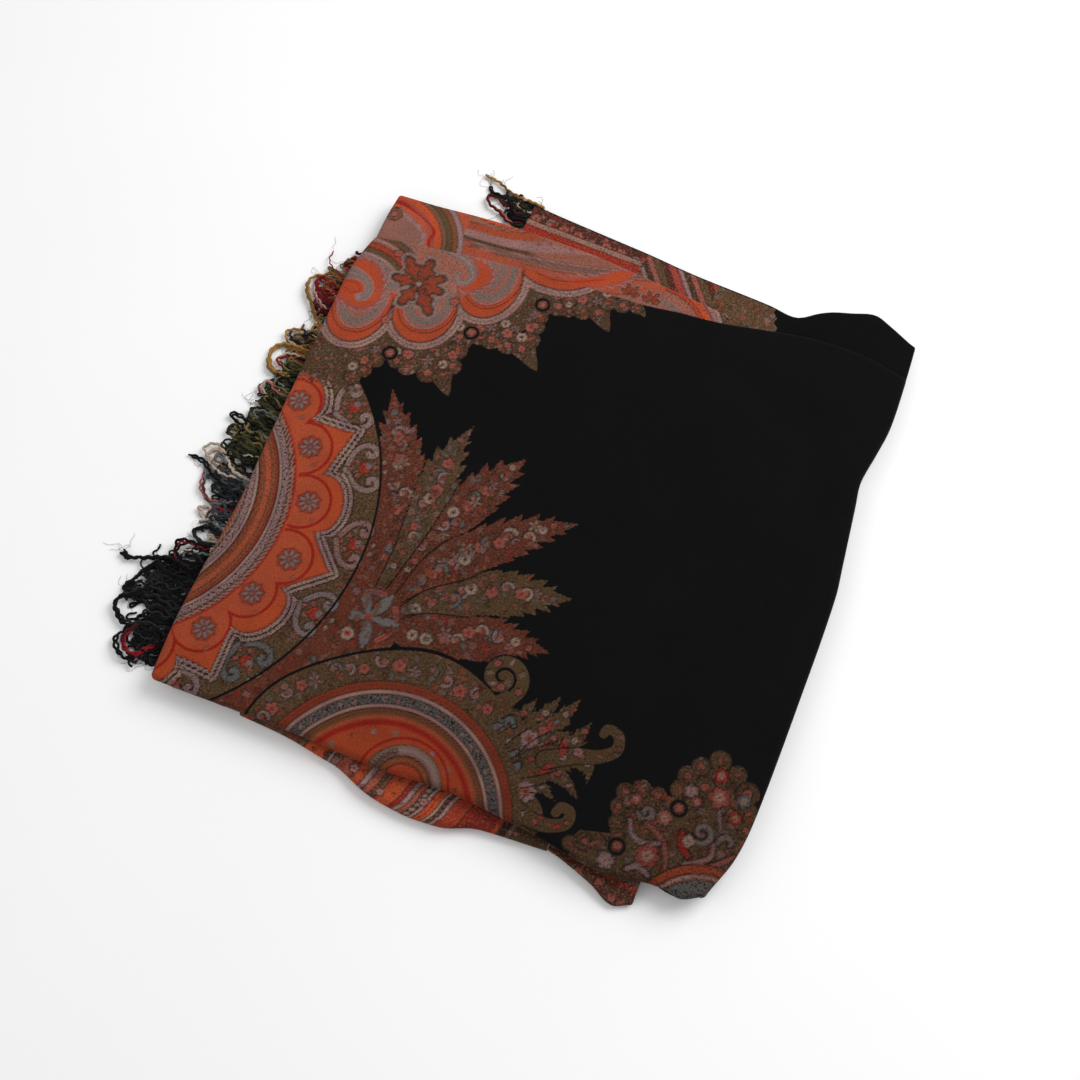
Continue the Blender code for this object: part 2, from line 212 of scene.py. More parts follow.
def roll_height(x, y):
    swell = 0.9 * smooth(1.5, 12, PANEL_FRONT_EDGE(x) - y)
    return 9.9 + swell + 0.35 * ripple(x, y, 7, 34) * smooth(0, 6, PANEL_FRONT_EDGE(x) - y)


def flap_height(x, y):
    fall = 4.4 * smooth(1, 18, PANEL_FRONT_EDGE(x) - y)
    return 9.9 - fall + 0.25 * ripple(x, y, 8, 26)


# ---------------- cloth on its folds

Sides = namedtuple("Sides", "left right front back")
Stretch = namedtuple("Stretch", "name edges radii wrap height pitch curl_steps")
CORNER = 12.0


def tucked_front(x):
    """Inner edge of the stretches under the panel, clear of its corner folds."""
    outside = smooth(SIDE_LINE - CORNER, SIDE_LINE - CORNER / 2, abs(x))
    return PANEL_BACK_EDGE(x) + mix(-5.0, 1.1, outside)


def third_front(x):
    return mix(back_of(SECOND_BACK, 12.0)(x), tucked_front(x), smooth(95, 125, x))


TOP_PANEL = Stretch(
    "top_cloth",
    Sides(left_of(PANEL_LEFT), right_of(PANEL_RIGHT), PANEL_FRONT_EDGE, PANEL_BACK_EDGE),
    Sides(4.5, 4.5, 4.5, 2.2), 140, panel_height, 4.95, 5,
)
SECOND = Stretch(
    "second_cloth",
    Sides(left_of(SECOND_LEFT), straight(112.0), tucked_front, back_of(SECOND_BACK)),
    Sides(2.6, 0, 0, 3.4), 140, second_height, 4.4, 4,
)
THIRD = Stretch(
    "third_cloth",
    Sides(straight(-118.0), right_of(PANEL_RIGHT), third_front, back_of(THIRD_BACK)),
    Sides(0, 2.4, 0, 2.4), 130, third_height, 4.4, 4,
)
ROLL = Stretch(
    "roll_cloth",
    Sides(straight(-150.0), straight(93.8), front_of(ROLL_FRONT), straight(-205.0)),
    Sides(0, 0, 5.0, 0), 150, roll_height, 4.4, 5,
)
FLAP = Stretch(
    "flap_cloth",
    Sides(straight(94.6), straight(163.0), front_of(FLAP_FRONT), straight(-206.0)),
    Sides(0, 2.2, 2.2, 0), 125, flap_height, 4.4, 4,
)

# The steps across a stretch: round one fold, over the flat, round the other.
Steps = namedtuple("Steps", "count share turn")


def steps_across(low, high, low_fold, high_fold, pitch, curl_steps):
    cells = max(2, round((high - low) / pitch))
    share = [k / cells for k in range(cells + 1)]
    turn = [0.0] * len(share)
    turns = [(k + 1) / curl_steps for k in range(curl_steps)]
    if low_fold:
        share = [0.0] * curl_steps + share
        turn = [-t for t in reversed(turns)] + turn
    if high_fold:
        share += [1.0] * curl_steps
        turn += turns
    return Steps(len(share) - 1, np.array(share), np.array(turn))


def plan_point(edges, radii, share_x, share_y):
    x = y = 0.0 * share_x
    for _ in range(4):
        x = mix(edges.left(y) + radii.left, edges.right(y) - radii.right, share_x)
        y = mix(edges.front(x) + radii.front, edges.back(x) - radii.back, share_y)
    return x, y


def read_steps(steps, place):
    at = np.arange(steps.count + 1)
    return np.interp(place, at, steps.share), np.interp(place, at, steps.turn)


def lay_cloth(stretch, steps_x, steps_y, grid_x, grid_y):
    """Where the cloth's points lie, and their places on the unfolded cloth."""
    radii = stretch.radii
    share_x, turn_x = read_steps(steps_x, grid_x)
    share_y, turn_y = read_steps(steps_y, grid_y)
    x, y = plan_point(stretch.edges, radii, share_x, share_y)
    top = stretch.height(x, y)
    turn = np.maximum(abs(turn_x), abs(turn_y))
    swing = np.arctan2(abs(turn_y), abs(turn_x))
    radius_x = np.where(turn_x < 0, radii.left, radii.right)
    radius_y = np.where(turn_y < 0, radii.front, radii.back)
    drop_radius = radius_x * np.cos(swing) ** 2 + radius_y * np.sin(swing) ** 2
    wrap = math.radians(stretch.wrap)
    out = np.sin(wrap * turn)
    points = np.stack([
        x + np.sign(turn_x) * radius_x * np.cos(swing) * out,
        y + np.sign(turn_y) * radius_y * np.sin(swing) * out,
        top - drop_radius * (1 - np.cos(wrap * turn)),
    ], axis=1)
    cloth = np.stack([
        x + turn_x * radius_x * wrap, y + turn_y * radius_y * wrap,
    ], axis=1)
    return points, cloth


# ---------------- dyes

LIGHT_LEVEL = 1.15  # how brightly the lamps light the cloth, against a full white


def dye(red, green, blue):
    """A dye given as it looks on the lit shawl, turned into the light it gives back."""
    seen = np.array((red, green, blue)) / 255
    return np.where(seen < 0.04045, seen / 12.92, ((seen + 0.055) / 1.055) ** 2.4) / LIGHT_LEVEL


BLACK = dye(14, 14, 15)
OLIVE = dye(92, 71, 47)
DARK_OLIVE = dye(66, 50, 34)
RUST = dye(107, 55, 39)
DARK_RUST = dye(86, 42, 33)
ORANGE = dye(184, 78, 44)
DEEP_ORANGE = dye(158, 60, 36)
RED = dye(156, 38, 28)
ROSE = dye(154, 88, 76)
LILAC = dye(148, 118, 116)
MAUVE = dye(136, 98, 86)
BLUE_GREY = dye(100, 104, 102)
CREAM = dye(160, 132, 116)
BROWN = dye(46, 32, 25)


# ---------------- the loom

def edge_weight(distance, softness=0.9):
    return np.clip(0.5 - distance / softness, 0.0, 1.0)


def run_distance(x, y, points):
    """Distance to a run of straight pieces, how far along it, and the side."""
    best = np.full(len(x), 1e9)
    along = np.zeros(len(x))
    side = np.zeros(len(x))
    lengths = [math.dist(a, b) for a, b in zip(points, points[1:])]
    total, passed = sum(lengths), 0.0
    for (x0, y0), (x1, y1), length in zip(points, points[1:], lengths):
        ux, uy = (x1 - x0) / length, (y1 - y0) / length
        reach = np.clip((x - x0) * ux + (y - y0) * uy, 0, length)
        dx, dy = x - x0 - reach * ux, y - y0 - reach * uy
        distance = np.hypot(dx, dy)
        nearer = distance < best
        best = np.where(nearer, distance, best)
        along = np.where(nearer, (passed + reach) / total, along)
        side = np.where(nearer, np.sign(ux * dy - uy * dx), side)
        passed += length
    return best, along, side


def patch_distance(x, y, points):
    """Distance out from a closed run, below 0 inside it, and how far along it."""
    distance, along, _ = run_distance(x, y, [*points, points[0]])
    inside = np.zeros(len(x), bool)
    for (x0, y0), (x1, y1) in zip(points, [*points[1:], points[0]]):
        if y0 != y1:
            crossed = x < x0 + (y - y0) / (y1 - y0) * (x1 - x0)
            inside ^= ((y0 > y) != (y1 > y)) & crossed
    return np.where(inside, -distance, distance), along


def gone_along(points):
    """How far along a run each of its points lies."""
    return np.concatenate(([0], np.cumsum(np.hypot(*np.diff(points, axis=0).T))))


def curve_through(points, count=24):
    """A smooth run through a few points."""
    knots = np.array(points, float)
    gone = gone_along(knots)
    curve = easy_curve(knots, gone, np.gradient(knots, gone, axis=0), np.linspace(0, gone[-1], count))
    return [tuple(p) for p in curve]


def on_circle(x, y, radius, degrees):
    angle = math.radians(degrees)
    return x + radius * math.cos(angle), y + radius * math.sin(angle)


def scroll_run(x, y, radius, start, turns, inner):
    """A spiral that winds in: start in degrees, turns below 0 go clockwise."""
    steps = max(12, int(abs(turns) * 22))
    shares = [k / steps for k in range(steps + 1)]
    return [on_circle(x, y, radius * mix(1.0, inner, t), start + 360 * turns * t) for t in shares]


def place_on(run, share):
    """The spot a share of the way along a run of evenly spaced points."""
    run = np.array(run)
    gone = np.linspace(0, 1, len(run))
    return np.array([np.interp(share, gone, run[:, c]) for c in (0, 1)])


def cell_noise(i, j, seed):
    """An even spread of numbers in 0..1 for whole-number cells."""
    h = np.sin(i * 127.1 + j * 311.7 + seed * 74.7) * 43758.5453
    return h - np.floor(h)


class Loom:
    """Weaves a pattern into the points of one stretch of cloth.

    colour is each point's dye, and speckle how finely it is flecked. bare, pale
    and red are distances in mm: out from the figures into the black ground, and
    out from the pale and the red lines.
    """

    def __init__(self, cloth):
        self.x, self.y = cloth[:, 0], cloth[:, 1]
        self.colour = np.tile(BLACK, (len(cloth), 1))
        self.bare = np.full(len(cloth), 40.0)
        self.pale = np.full(len(cloth), 40.0)
        self.red = np.full(len(cloth), 40.0)
        self.speckle = np.full(len(cloth), 0.35)

    def whole(self):
        return np.arange(len(self.x)), self.x, self.y

    def near(self, x, y, reach):
        """The points near a spot, and how far from it and which way they lie."""
        at = np.flatnonzero((abs(self.x - x) < reach) & (abs(self.y - y) < reach))
        return at, *self.polar(at, x, y)

    def polar(self, at, x, y):
        dx, dy = self.x[at] - x, self.y[at] - y
        return np.hypot(dx, dy), np.degrees(np.arctan2(dy, dx))

    def around(self, points, reach):
        (left, front), (right, back) = np.min(points, 0) - reach, np.max(points, 0) + reach
        inside = (self.x > left) & (self.x < right) & (self.y > front) & (self.y < back)
        return np.flatnonzero(inside)

    # Fills and lines, each from a distance in mm.

    def figure(self, at, distance, colour):
        """A figure that stands on the black ground."""
        take = (distance < 3.2) & ((distance < 0) | (distance < self.bare[at]))
        self.colour[at[take]] = colour
        self.pale[at] = np.maximum(self.pale[at], -distance)
        self.red[at] = np.maximum(self.red[at], -distance)
        self.bare[at] = np.minimum(self.bare[at], distance)

    def lay(self, at, distance, colour, softness=0.9):
        """A patch of colour inside a figure, over what is there."""
        weight = np.reshape(edge_weight(distance, softness), (-1, 1))
        self.colour[at] = mix(self.colour[at], colour, weight)
        self.pale[at] = np.maximum(self.pale[at], -distance)
        self.red[at] = np.maximum(self.red[at], -distance)

    def rings(self, at, distance, rows):
        """Bands of dye inside one another, some with a dark line of a given width."""
        for outer, colour, *line in rows:
            if line:
                self.lay(at, distance - outer - line[0], BROWN)
            self.lay(at, distance - outer, colour)

    def fleck(self, at, distance, amount):
        """How much of a patch is fine flecks of other dyes."""
        self.speckle[at] = mix(self.speckle[at], amount, edge_weight(distance))

    def cut(self, at, distance):
        """Leaves the black ground bare again."""
        self.bare[at] = np.maximum(self.bare[at], -distance)

    def pale_line(self, at, distance):
        self.pale[at] = np.minimum(self.pale[at], distance)

    def red_line(self, at, distance):
        self.red[at] = np.minimum(self.red[at], distance)

    # Strokes and small motifs.

    def stroke(self, points, width, *colour, kind="lay", taper=0.0, fade=0.0):
        """A run of cloth: taper thins it to both ends, fade to its far end."""
        at = self.around(points, width + 4)
        distance, along, _ = run_distance(self.x[at], self.y[at], points)
        thin = 1 - taper * (2 * along - 1) ** 2 - fade * along
        getattr(self, kind)(at, distance - width / 2 * thin, *colour)

    def branch(self, points, width, colour, dark, **thinned):
        """A stroke with a dark edge, which makes it that much wider."""
        self.stroke(points, width + dark, BROWN)
        self.stroke(points, width, colour, **thinned)

    def patch(self, points, colour, teeth=0, bite=2.4, line=BROWN, inset=0.0):
        """A soft shape drawn through its corners, with a line and perhaps teeth."""
        run = curve_through([*points, points[0]], 48)[:-1]
        at = self.around(run, 6)
        distance, along = patch_distance(self.x[at], self.y[at], run)
        distance += inset
        if teeth:
            distance += bite * ((along * teeth) % 1.0) ** 0.8
        self.lay(at, distance - 1.0, line)
        self.lay(at, distance, colour)
        self.fleck(at, distance, 0.3)

    def drop(self, points, width, colour):
        """A petal along a short run, slim at its root and full near its tip."""
        at = self.around(points, width)
        distance, along, _ = run_distance(self.x[at], self.y[at], points)
        full = width / 2 * (0.25 + 0.75 * np.sin(math.pi * np.clip(along, 0, 0.96) ** 1.4))
        self.lay(at, distance - full, colour)

    def disc(self, x, y, radius, colour):
        at, reach, _ = self.near(x, y, radius + 4)
        self.lay(at, reach - radius, colour)

    def floret(self, x, y, radius, petals, colour, heart, turn=0.0, depth=0.3, outline=BROWN):
        """A small flower: round petals, a dark line round them, and a heart."""
        at, reach, angle = self.near(x, y, radius + 5)
        lobes = abs(np.cos(petals / 2 * np.radians(angle - turn)))
        distance = reach - radius * (1 - depth + depth * lobes**0.7 * 1.1)
        if outline is not None:
            self.lay(at, distance - 0.9, outline)
        self.lay(at, distance, colour)
        self.lay(at, reach - radius * 0.3, heart)

    def rosette(self, x, y, radius, petals, colour, turn=0.0):
        """Slim petals standing apart round a heart."""
        at, reach, angle = self.near(x, y, radius + 4)
        part = ((angle - turn) * petals / 360 + 0.5) % 1.0 - 0.5
        slim = 0.14 * radius + 0.05
        across = part * math.tau / petals * reach / slim
        along = (reach - radius * 0.64) / (radius * 0.36)
        distance = (np.hypot(across, along) - 1) * slim
        self.lay(at, distance - 0.6, BROWN)
        self.lay(at, distance, colour)
        self.lay(at, reach - radius * 0.16, ROSE)

    def berry(self, x, y, radius=4.6):
        """A round rose berry ringed in black."""
        at, reach, _ = self.near(x, y, radius + 5)
        self.lay(at, reach - radius - 2.4, DARK_OLIVE)
        self.cut(at, abs(reach - radius - 0.7) - 1.0)
        self.lay(at, reach - radius + 0.4, DARK_RUST)
        self.lay(at, np.hypot(self.x[at] - x, self.y[at] - y - 0.5) - radius * 0.62, ROSE)

    def motif(self, kind, x, y, size, turn=0.0, dyed=LILAC):
        """One of the small motifs that fill leaves and bands."""
        if kind == "crescent":
            run = scroll_run(x, y, size, turn, 0.55, 0.35)
            self.branch(run, size * 0.46, dyed, 1.6, fade=0.5)
            self.disc(*run[-1], size * 0.2852, dyed)
            self.disc(x, y, size * 0.36, ROSE)
        elif kind == "cross":
            self.rosette(x, y, size, 5, dyed, turn)
        elif kind == "eye":
            self.floret(x, y, size, 6, CREAM, BROWN, turn, depth=0.15)
        elif kind == "rose":
            self.floret(x, y, size, 5, ROSE, RED, turn)
        elif kind == "bud":
            ends = [on_circle(x, y, size, turn + 180), on_circle(x, y, size, turn)]
            self.stroke(ends, size * 1.3, BROWN, taper=0.7)
            self.stroke(ends, size * 0.9, dyed, taper=0.7)

    def sprinkle(self, at, pitch, dyes, seed, fill=0.85, size=0.34, net=None):
        """Small florets and buds, one in each cell of an uneven net.

        net tells where the points lie on it, where that isn't their place on the cloth.
        """
        u, v = net or (self.x[at], self.y[at])
        i, j = np.floor(u / pitch), np.floor(v / pitch)
        best = np.full(len(u), 1e9)
        dx, dy = np.zeros(len(u)), np.zeros(len(u))
        ci, cj = np.zeros(len(u)), np.zeros(len(u))
        for di in (-1, 0, 1):
            for dj in (-1, 0, 1):
                ni, nj = i + di, j + dj
                px = (ni + 0.5 + 0.75 * (cell_noise(ni, nj, seed) - 0.5)) * pitch
                py = (nj + 0.5 + 0.75 * (cell_noise(ni, nj, seed + 1) - 0.5)) * pitch
                reach = np.hypot(u - px, v - py)
                nearer = reach < best
                best = np.where(nearer, reach, best)
                dx, dy = np.where(nearer, u - px, dx), np.where(nearer, v - py, dy)
                ci, cj = np.where(nearer, ni, ci), np.where(nearer, nj, cj)
        kind, pick = cell_noise(ci, cj, seed + 2), cell_noise(ci, cj, seed + 3)
        radius = pitch * size * (0.6 + 0.75 * cell_noise(ci, cj, seed + 4))
        radius = np.where(cell_noise(ci, cj, seed + 5) < fill, radius, -3.0)
        petals = np.where(kind < 0.5, 5, 3)
        angle = np.arctan2(dy, dx) + math.tau * pick
        lobes = abs(np.cos(petals / 2 * angle))
        distance = best - radius * (0.6 + 0.5 * lobes)
        curl = (kind > 0.6) & (np.hypot(dx - 0.4 * radius, dy) < 0.62 * radius)
        distance = np.where(curl, 1.2, distance)
        colour = np.array(dyes)[(pick * len(dyes)).astype(int) % len(dyes)]
        self.lay(at, distance - 0.8, mix(self.colour[at], BROWN, 0.55))
        self.lay(at, distance, colour)
        heart = np.where(kind < 0.6, best - 0.34 * radius, 2.0)
        other = np.array(dyes)[(kind * 7.3 * len(dyes)).astype(int) % len(dyes)]
        self.lay(at, heart, mix(other, RED, 0.4))

    def spikes(self, at, run, half_width, teeth, length):
        """Distance to the sharp teeth along a leaf, which point to its tip."""
        x, y = self.x[at], self.y[at]
        nearest = np.full(len(at), 99.0)
        for k in range(2 * teeth):
            side, place = (-1) ** k, mix(0.36, 0.9, (k + 0.5) / (2 * teeth))
            middle = place_on(run, place)
            ahead = place_on(run, place + 0.03) - middle
            ahead /= np.hypot(*ahead)
            out = side * np.array((-ahead[1], ahead[0]))
            wide = half_width(place)
            strong = min(1.0, wide / 11) * length
            root = middle + out * wide * 0.35 - ahead * 0.25 * wide
            tip = middle + out * (wide * 0.93 + 0.3 * strong) + ahead * (0.55 * wide + strong)
            distance, along, _ = run_distance(x, y, [tuple(root), tuple(tip)])
            nearest = np.minimum(nearest, distance - wide * 0.52 * (1 - along) ** 0.8)
        return nearest

    def leaf(self, points, widths, colour, teeth=4, length=6.5, dyes=(), seed=0, rim=1.2, pitch=7.5):
        """A leaf along a curved spine, with teeth that point to its tip.

        widths are half widths, evenly spaced from its root to its tip.
        """
        run = curve_through(points, 40)
        size = gone_along(run)[-1]
        at = self.around(points, max(widths) + 14)
        distance, along, side = run_distance(self.x[at], self.y[at], run)
        places = np.linspace(0, 1, len(widths))

        def half_width(place):
            return np.interp(place, places, widths)

        past = (along <= 0) | (along >= 1)
        body = half_width(along) * mix(1.08, 0.84, smooth(0.3, 0.6, along))
        edge = np.where(past, distance, distance - body)
        if teeth:
            edge = np.minimum(edge, self.spikes(at, run, half_width, teeth, length))
            saw = (along * size - 0.9 * distance) / 4.7 % 1.0
            edge = edge - 1.5 * (saw - 0.6) * smooth(0.3, 0.45, along) * (1 - past)
        self.cut(at, edge - rim)
        self.figure(at, edge, colour)
        self.fleck(at, edge, 0.6)
        inside = edge < -0.8
        if len(dyes):
            net = (along * size)[inside], (side * distance)[inside] + 50
            self.sprinkle(at[inside], pitch, dyes, seed, 0.7, net=net)
            vein = (along[inside] * size - 0.9 * distance[inside]) % 5.2
            self.lay(at[inside], abs(vein - 2.3) - 0.2, mix(colour, BROWN, 0.5))

    def leaf_motifs(self, points, widths, seed, kinds, spacing=10.5, first=9.0):
        """The larger motifs that follow a leaf's middle."""
        run = curve_through(points, 40)
        size = gone_along(run)[-1]
        rng = seeded(seed)
        k = rng.integers(0, len(kinds))
        reach = first
        while reach < size - 9:
            place = reach / size
            wide = np.interp(place, np.linspace(0, 1, len(widths)), widths)
            x, y = place_on(run, place) + rng.uniform(-0.22, 0.22, 2) * wide
            kind = kinds[k % len(kinds)]
            dyed = (LILAC, BLUE_GREY, CREAM, LILAC)[rng.integers(0, 4)]
            if wide > 3.5:
                grown = np.clip(wide * 0.36, 2.2, 4.8) * (1.12 if kind == "crescent" else 1.0)
                self.motif(kind, x, y, grown, rng.uniform(0, 360), dyed)
            k += 1
            reach += spacing * rng.uniform(0.8, 1.2)

    def lobes(self, places, colour):
        """Round lobes that lie over one another, each with a dark line round it."""
        for x, y, radius in places:
            at, reach, _ = self.near(x, y, radius + 5)
            self.figure(at, reach - radius, colour)
            self.lay(at, abs(reach - radius + 0.4) - 0.8, mix(colour, BROWN, 0.8))
            self.lay(at, reach - radius + 1.5, colour)


# ---------------- pattern of the top

# Dyes spun together.
HEATHER, PALE, GREY_MAUVE = mix(LILAC, ROSE, 0.4), mix(LILAC, CREAM, 0.45), mix(MAUVE, BLUE_GREY, 0.4)
CORAL, PINK, PEACH = mix(ORANGE, ROSE, 0.3), mix(ROSE, ORANGE, 0.3), mix(MAUVE, ORANGE, 0.25)
FLAME, ROSY, SALMON = mix(ORANGE, DEEP_ORANGE, 0.4), mix(ROSE, RED, 0.4), mix(DEEP_ORANGE, ROSE, 0.5)
AMBER, OCHRE, UMBER = mix(OLIVE, ORANGE, 0.25), mix(ORANGE, OLIVE, 0.4), mix(RUST, BROWN, 0.5)
DUSK, SMOKE, MOSS = mix(ROSE, OLIVE, 0.4), mix(LILAC, OLIVE, 0.4), mix(OLIVE, DARK_OLIVE, 0.45)
# Small florets keep close to their ground: each is dyed in part like it.
FLORET_DYES = (
    DUSK, SMOKE, mix(BLUE_GREY, OLIVE, 0.3), DARK_OLIVE,
    mix(DEEP_ORANGE, OLIVE, 0.4), DARK_RUST, mix(ROSE, OLIVE, 0.6),
)
LEAF_DYES = (
    mix(ROSE, RUST, 0.4), mix(LILAC, RUST, 0.45), mix(BLUE_GREY, RUST, 0.4), DARK_RUST,
    mix(RED, RUST, 0.4), mix(ROSE, RUST, 0.6), DARK_OLIVE,
)


def cable_line(loom, at, distance, beads):
    """A pale border of two lines of slanting stitches on a dark ground."""
    loom.lay(at, abs(distance) - 4.1, BROWN)
    loom.pale_line(at, abs(abs(distance) - 1.95) - 1.15 + 0.55 * np.sin(beads * math.tau / 2.6))


# The left medallion's edge: its angle and reach where lobes and tips meet.
MEDALLION_X, MEDALLION_Y, MEDALLION_RIM = -306.5, -78, 190.5
MEDALLION_EDGE = (
    (-90, 153, "lobe"), (-66, 154, "lobe"), (-49.3, 155.5, "rise"), (-42.6, 176, "fall"),
    (-32.5, 152.5, "lobe"), (-14.4, 156.4, "rise"), (-4.5, 179, "fall"), (4.4, 154.9, "lobe"),
    (23.5, 153.2, "rise"), (34.9, 178.5, "fall"), (42.7, 150.4, "lobe"), (62, 154, "lobe"),
    (90, 150, "lobe"),
)
MEDALLION_ROSETTES = (
    (-217, 32), (-191, -2), (-172, -45), (-165, -93), (-179, -128), (-200, -166), (-233, -196),
)
LOBE_SWELL = 15.0
# The hearts of two curls in the olive ground: corner, way they open, size, dye.
HEARTS = (
    (-185, 31, 43, 1, PALE), (-158, -10, 24.6, 1, PALE), (-140, -65, 3, 0.95, HEATHER),
    (-143, -121, -16, 0.92, mix(LILAC, BLUE_GREY, 0.4)), (-171, -167, -42, 0.95, BLUE_GREY),
    (-208, -201, -60, 0.9, LILAC),
)
HEART_SHAPE = (
    (0.5, 0), (4, 8), (7, 14.5), (12, 20), (18.5, 22), (24.5, 18), (24, 12), (19, 11.5), (18.5, 14.5),
)


def edge_reach(angle):
    """How far the medallion's edge of round lobes and pointed tips lies at an angle."""
    angles, reaches, spans = (np.array(column) for column in zip(*MEDALLION_EDGE))
    k = np.clip(np.searchsorted(angles, angle, "right") - 1, 0, len(angles) - 2)
    t = np.clip((angle - angles[k]) / (angles[k + 1] - angles[k]), 0, 1)
    near, far = reaches[k], reaches[k + 1]
    lobe = mix(near, far, t) + LOBE_SWELL * (1 - (2 * t - 1) ** 2) ** 0.55
    rise, fall = mix(near, far, t**1.25), mix(far, near, (1 - t) ** 1.25)
    return np.select([spans[k] == "lobe", spans[k] == "rise"], [lobe, rise], fall)


def draw_medallion(loom):
    at, *_ = loom.near(-230, -78, 215)
    reach, angle = loom.polar(at, MEDALLION_X, MEDALLION_Y)
    rim = reach - MEDALLION_RIM
    loom.cut(at, rim - 1.9)
    loom.figure(at, rim, OLIVE)
    loom.fleck(at, rim, 0.8)
    arc = np.radians(angle)
    loom.sprinkle(at, 7, FLORET_DYES, 11, 0.7, 0.27, net=(arc * 175, reach))
    edge = edge_reach(angle)
    slope = (edge_reach(angle + 0.4) - edge_reach(angle - 0.4)) / (math.radians(0.8) * edge)
    inside = (reach - edge) / np.sqrt(1 + np.minimum(slope**2, 9))
    beyond = np.maximum(1.9 - rim, rim - 15 * smooth(8, -30, loom.y[at]))
    beyond = np.where(loom.y[at] < 6, beyond, 9)
    loom.figure(at, beyond, RUST)
    bed = beyond < -1.5
    loom.sprinkle(at[bed], 7, LEAF_DYES, 12, 0.8, 0.3, net=(arc[bed] * 200, rim[bed] - 1))
    for heart in HEARTS:
        draw_heart(loom, *heart)
    cable_line(loom, at, inside, arc * edge + reach * 0.6)
    loom.lay(at, inside + 4, ORANGE)
    loom.fleck(at, inside + 3, 0.22)
    scallop = np.full(len(at), 99.0)
    for x, y in MEDALLION_ROSETTES:
        toward = np.array((MEDALLION_X - x, MEDALLION_Y - y))
        middle = (x, y) + 5.0 * toward / np.hypot(*toward)
        scallop = np.minimum(scallop, loom.polar(at, *middle)[0] - 22)
    weight = (edge_weight(scallop + 2, 3) * (reach > 120))[:, None]
    loom.colour[at] = mix(loom.colour[at], CORAL, weight * 0.55)
    loom.red_line(at, abs(scallop) - 1.15 + np.where(reach > 127.5, 0, 9))
    loom.red_line(at, abs(inside + 5) - 0.3)
    for k, (x, y) in enumerate(MEDALLION_ROSETTES):
        loom.disc(x, y, 9.6, DEEP_ORANGE)
        loom.rosette(x, y, 8.4, 8, mix(LILAC, MAUVE, 0.4), turn=k * 17)
        loom.motif("bud", x + 9, y - 13, 2.4, k * 50, ROSE)
    loom.lay(at, reach - 126.5, RED)
    bead_band(loom, at, reach, arc, 123, -1)
    loom.lay(at, reach - 111.8, OCHRE)
    for middle, dyed in ((110.6, RUST), (107.8, OLIVE), (101.6, OLIVE), (99.4, RUST)):
        dots = 0.5 * np.sin(arc * middle * math.tau / 3.4)
        loom.lay(at, abs(reach - middle) - 0.6 + 0.4 * dots, dyed)
    loom.lay(at, abs(reach - 104.8) - 1.8, CORAL)
    loom.fleck(at, abs(reach - 105) - 7, 0.6)
    for middle in (98.6, 112.2):
        loom.red_line(at, abs(reach - middle) - 0.3)
    bead_band(loom, at, reach, arc, 87.6, 1)
    loom.lay(at, reach - 84.6, ORANGE)
    loom.red_line(at, abs(reach - 83) - 0.4)


def bead_band(loom, at, reach, arc, beads, inward):
    """Pink beads, a finely flecked middle and a pale line, side by side."""
    out = (reach - beads) * inward
    loom.lay(at, abs(out - 4.6) - 6.2, BROWN)
    loom.lay(at, abs(out - 4.9) - 2.3, LILAC)
    loom.fleck(at, abs(out - 4.9) - 2.6, 1.5)
    swell = 2.6 * abs(np.sin((arc * beads + 1.4 * out) * math.pi / 4.1)) - 2.0
    loom.lay(at, abs(out) - 1.5 - swell, mix(ROSE, CREAM, 0.5))
    loom.fleck(at, abs(out) - 1, 0.1)
    loom.pale_line(at, abs(out - 8.6) - 0.95)


def draw_heart(loom, x, y, turn, size, dyed):
    """Two pale curls that spring from one corner, with an eye between them."""

    def spot(out, over):
        away = math.hypot(out, over) * size
        return on_circle(x, y, away, turn + math.degrees(math.atan2(over, out)))

    for hand in (1, -1):
        run = curve_through([spot(out, 0.88 * hand * over) for out, over in HEART_SHAPE], 30)
        loom.branch(run, 4, dyed, 2.2)
        loom.stroke(run, 1, mix(dyed, BLUE_GREY, 0.6))
        loom.motif("eye", *spot(31, hand * 4), 1.6)
    for out, over, bud in ((10, 6, 2), (10, -6, 2), (24, 0, 2.2), (5, 0, 1.8)):
        loom.motif("rose", *spot(out, over), bud, turn)
    for out, over, radius, eye in (
        (16, 0, 5.4, BROWN), (16, 0, 4.6, DEEP_ORANGE), (15, 0, 2.6, RED),
        (19, 1.6, 2.6, mix(BLUE_GREY, LILAC, 0.4)),
    ):
        loom.disc(*spot(out, over), radius, eye)


# The fan's leaves, from their roots at the hub to their tips: the spine, half
# widths evenly along it, teeth, and the dye.
FAN = (
    (((-106, -96), (-107, -60), (-109, -25), (-115, 0), (-127, 24), (-140, 46), (-153, 69)),
     (11, 12, 14, 16, 18, 18, 14, 7, 0), 7, RUST),
    (((-83, -92), (-76, -55), (-67, -25), (-56, 2), (-45, 25), (-31, 51)),
     (4, 5.5, 8.5, 12, 16.5, 18, 15.5, 8.5, 0), 6, RUST),
    (((-92, -92), (-88, -50), (-87, -20), (-87, 10), (-86, 35), (-80, 62)),
     (3, 4.5, 6.5, 9.5, 13.5, 15.5, 12.5, 6, 0), 6, OLIVE),
    (((-68, -116), (-45, -110), (-22, -101), (0, -95), (20, -91), (45, -89)),
     (7, 14, 18.5, 19, 18, 15, 10.5, 5.5, 0), 6, RUST),
    (((-70, -100), (-50, -82), (-25, -67), (0, -57), (20, -51), (45, -44)),
     (3, 7, 12, 16.5, 18.5, 17, 12.5, 6.5, 0), 6, OLIVE),
    (((-77, -93), (-62, -64), (-42, -40), (-20, -18), (0, -2), (27, 15)),
     (3, 7, 12.5, 16.5, 18, 16, 12, 6.5, 0), 6, RUST),
)
LEAF_KINDS = ("crescent", "rose", "cross", "crescent", "eye", "rose")
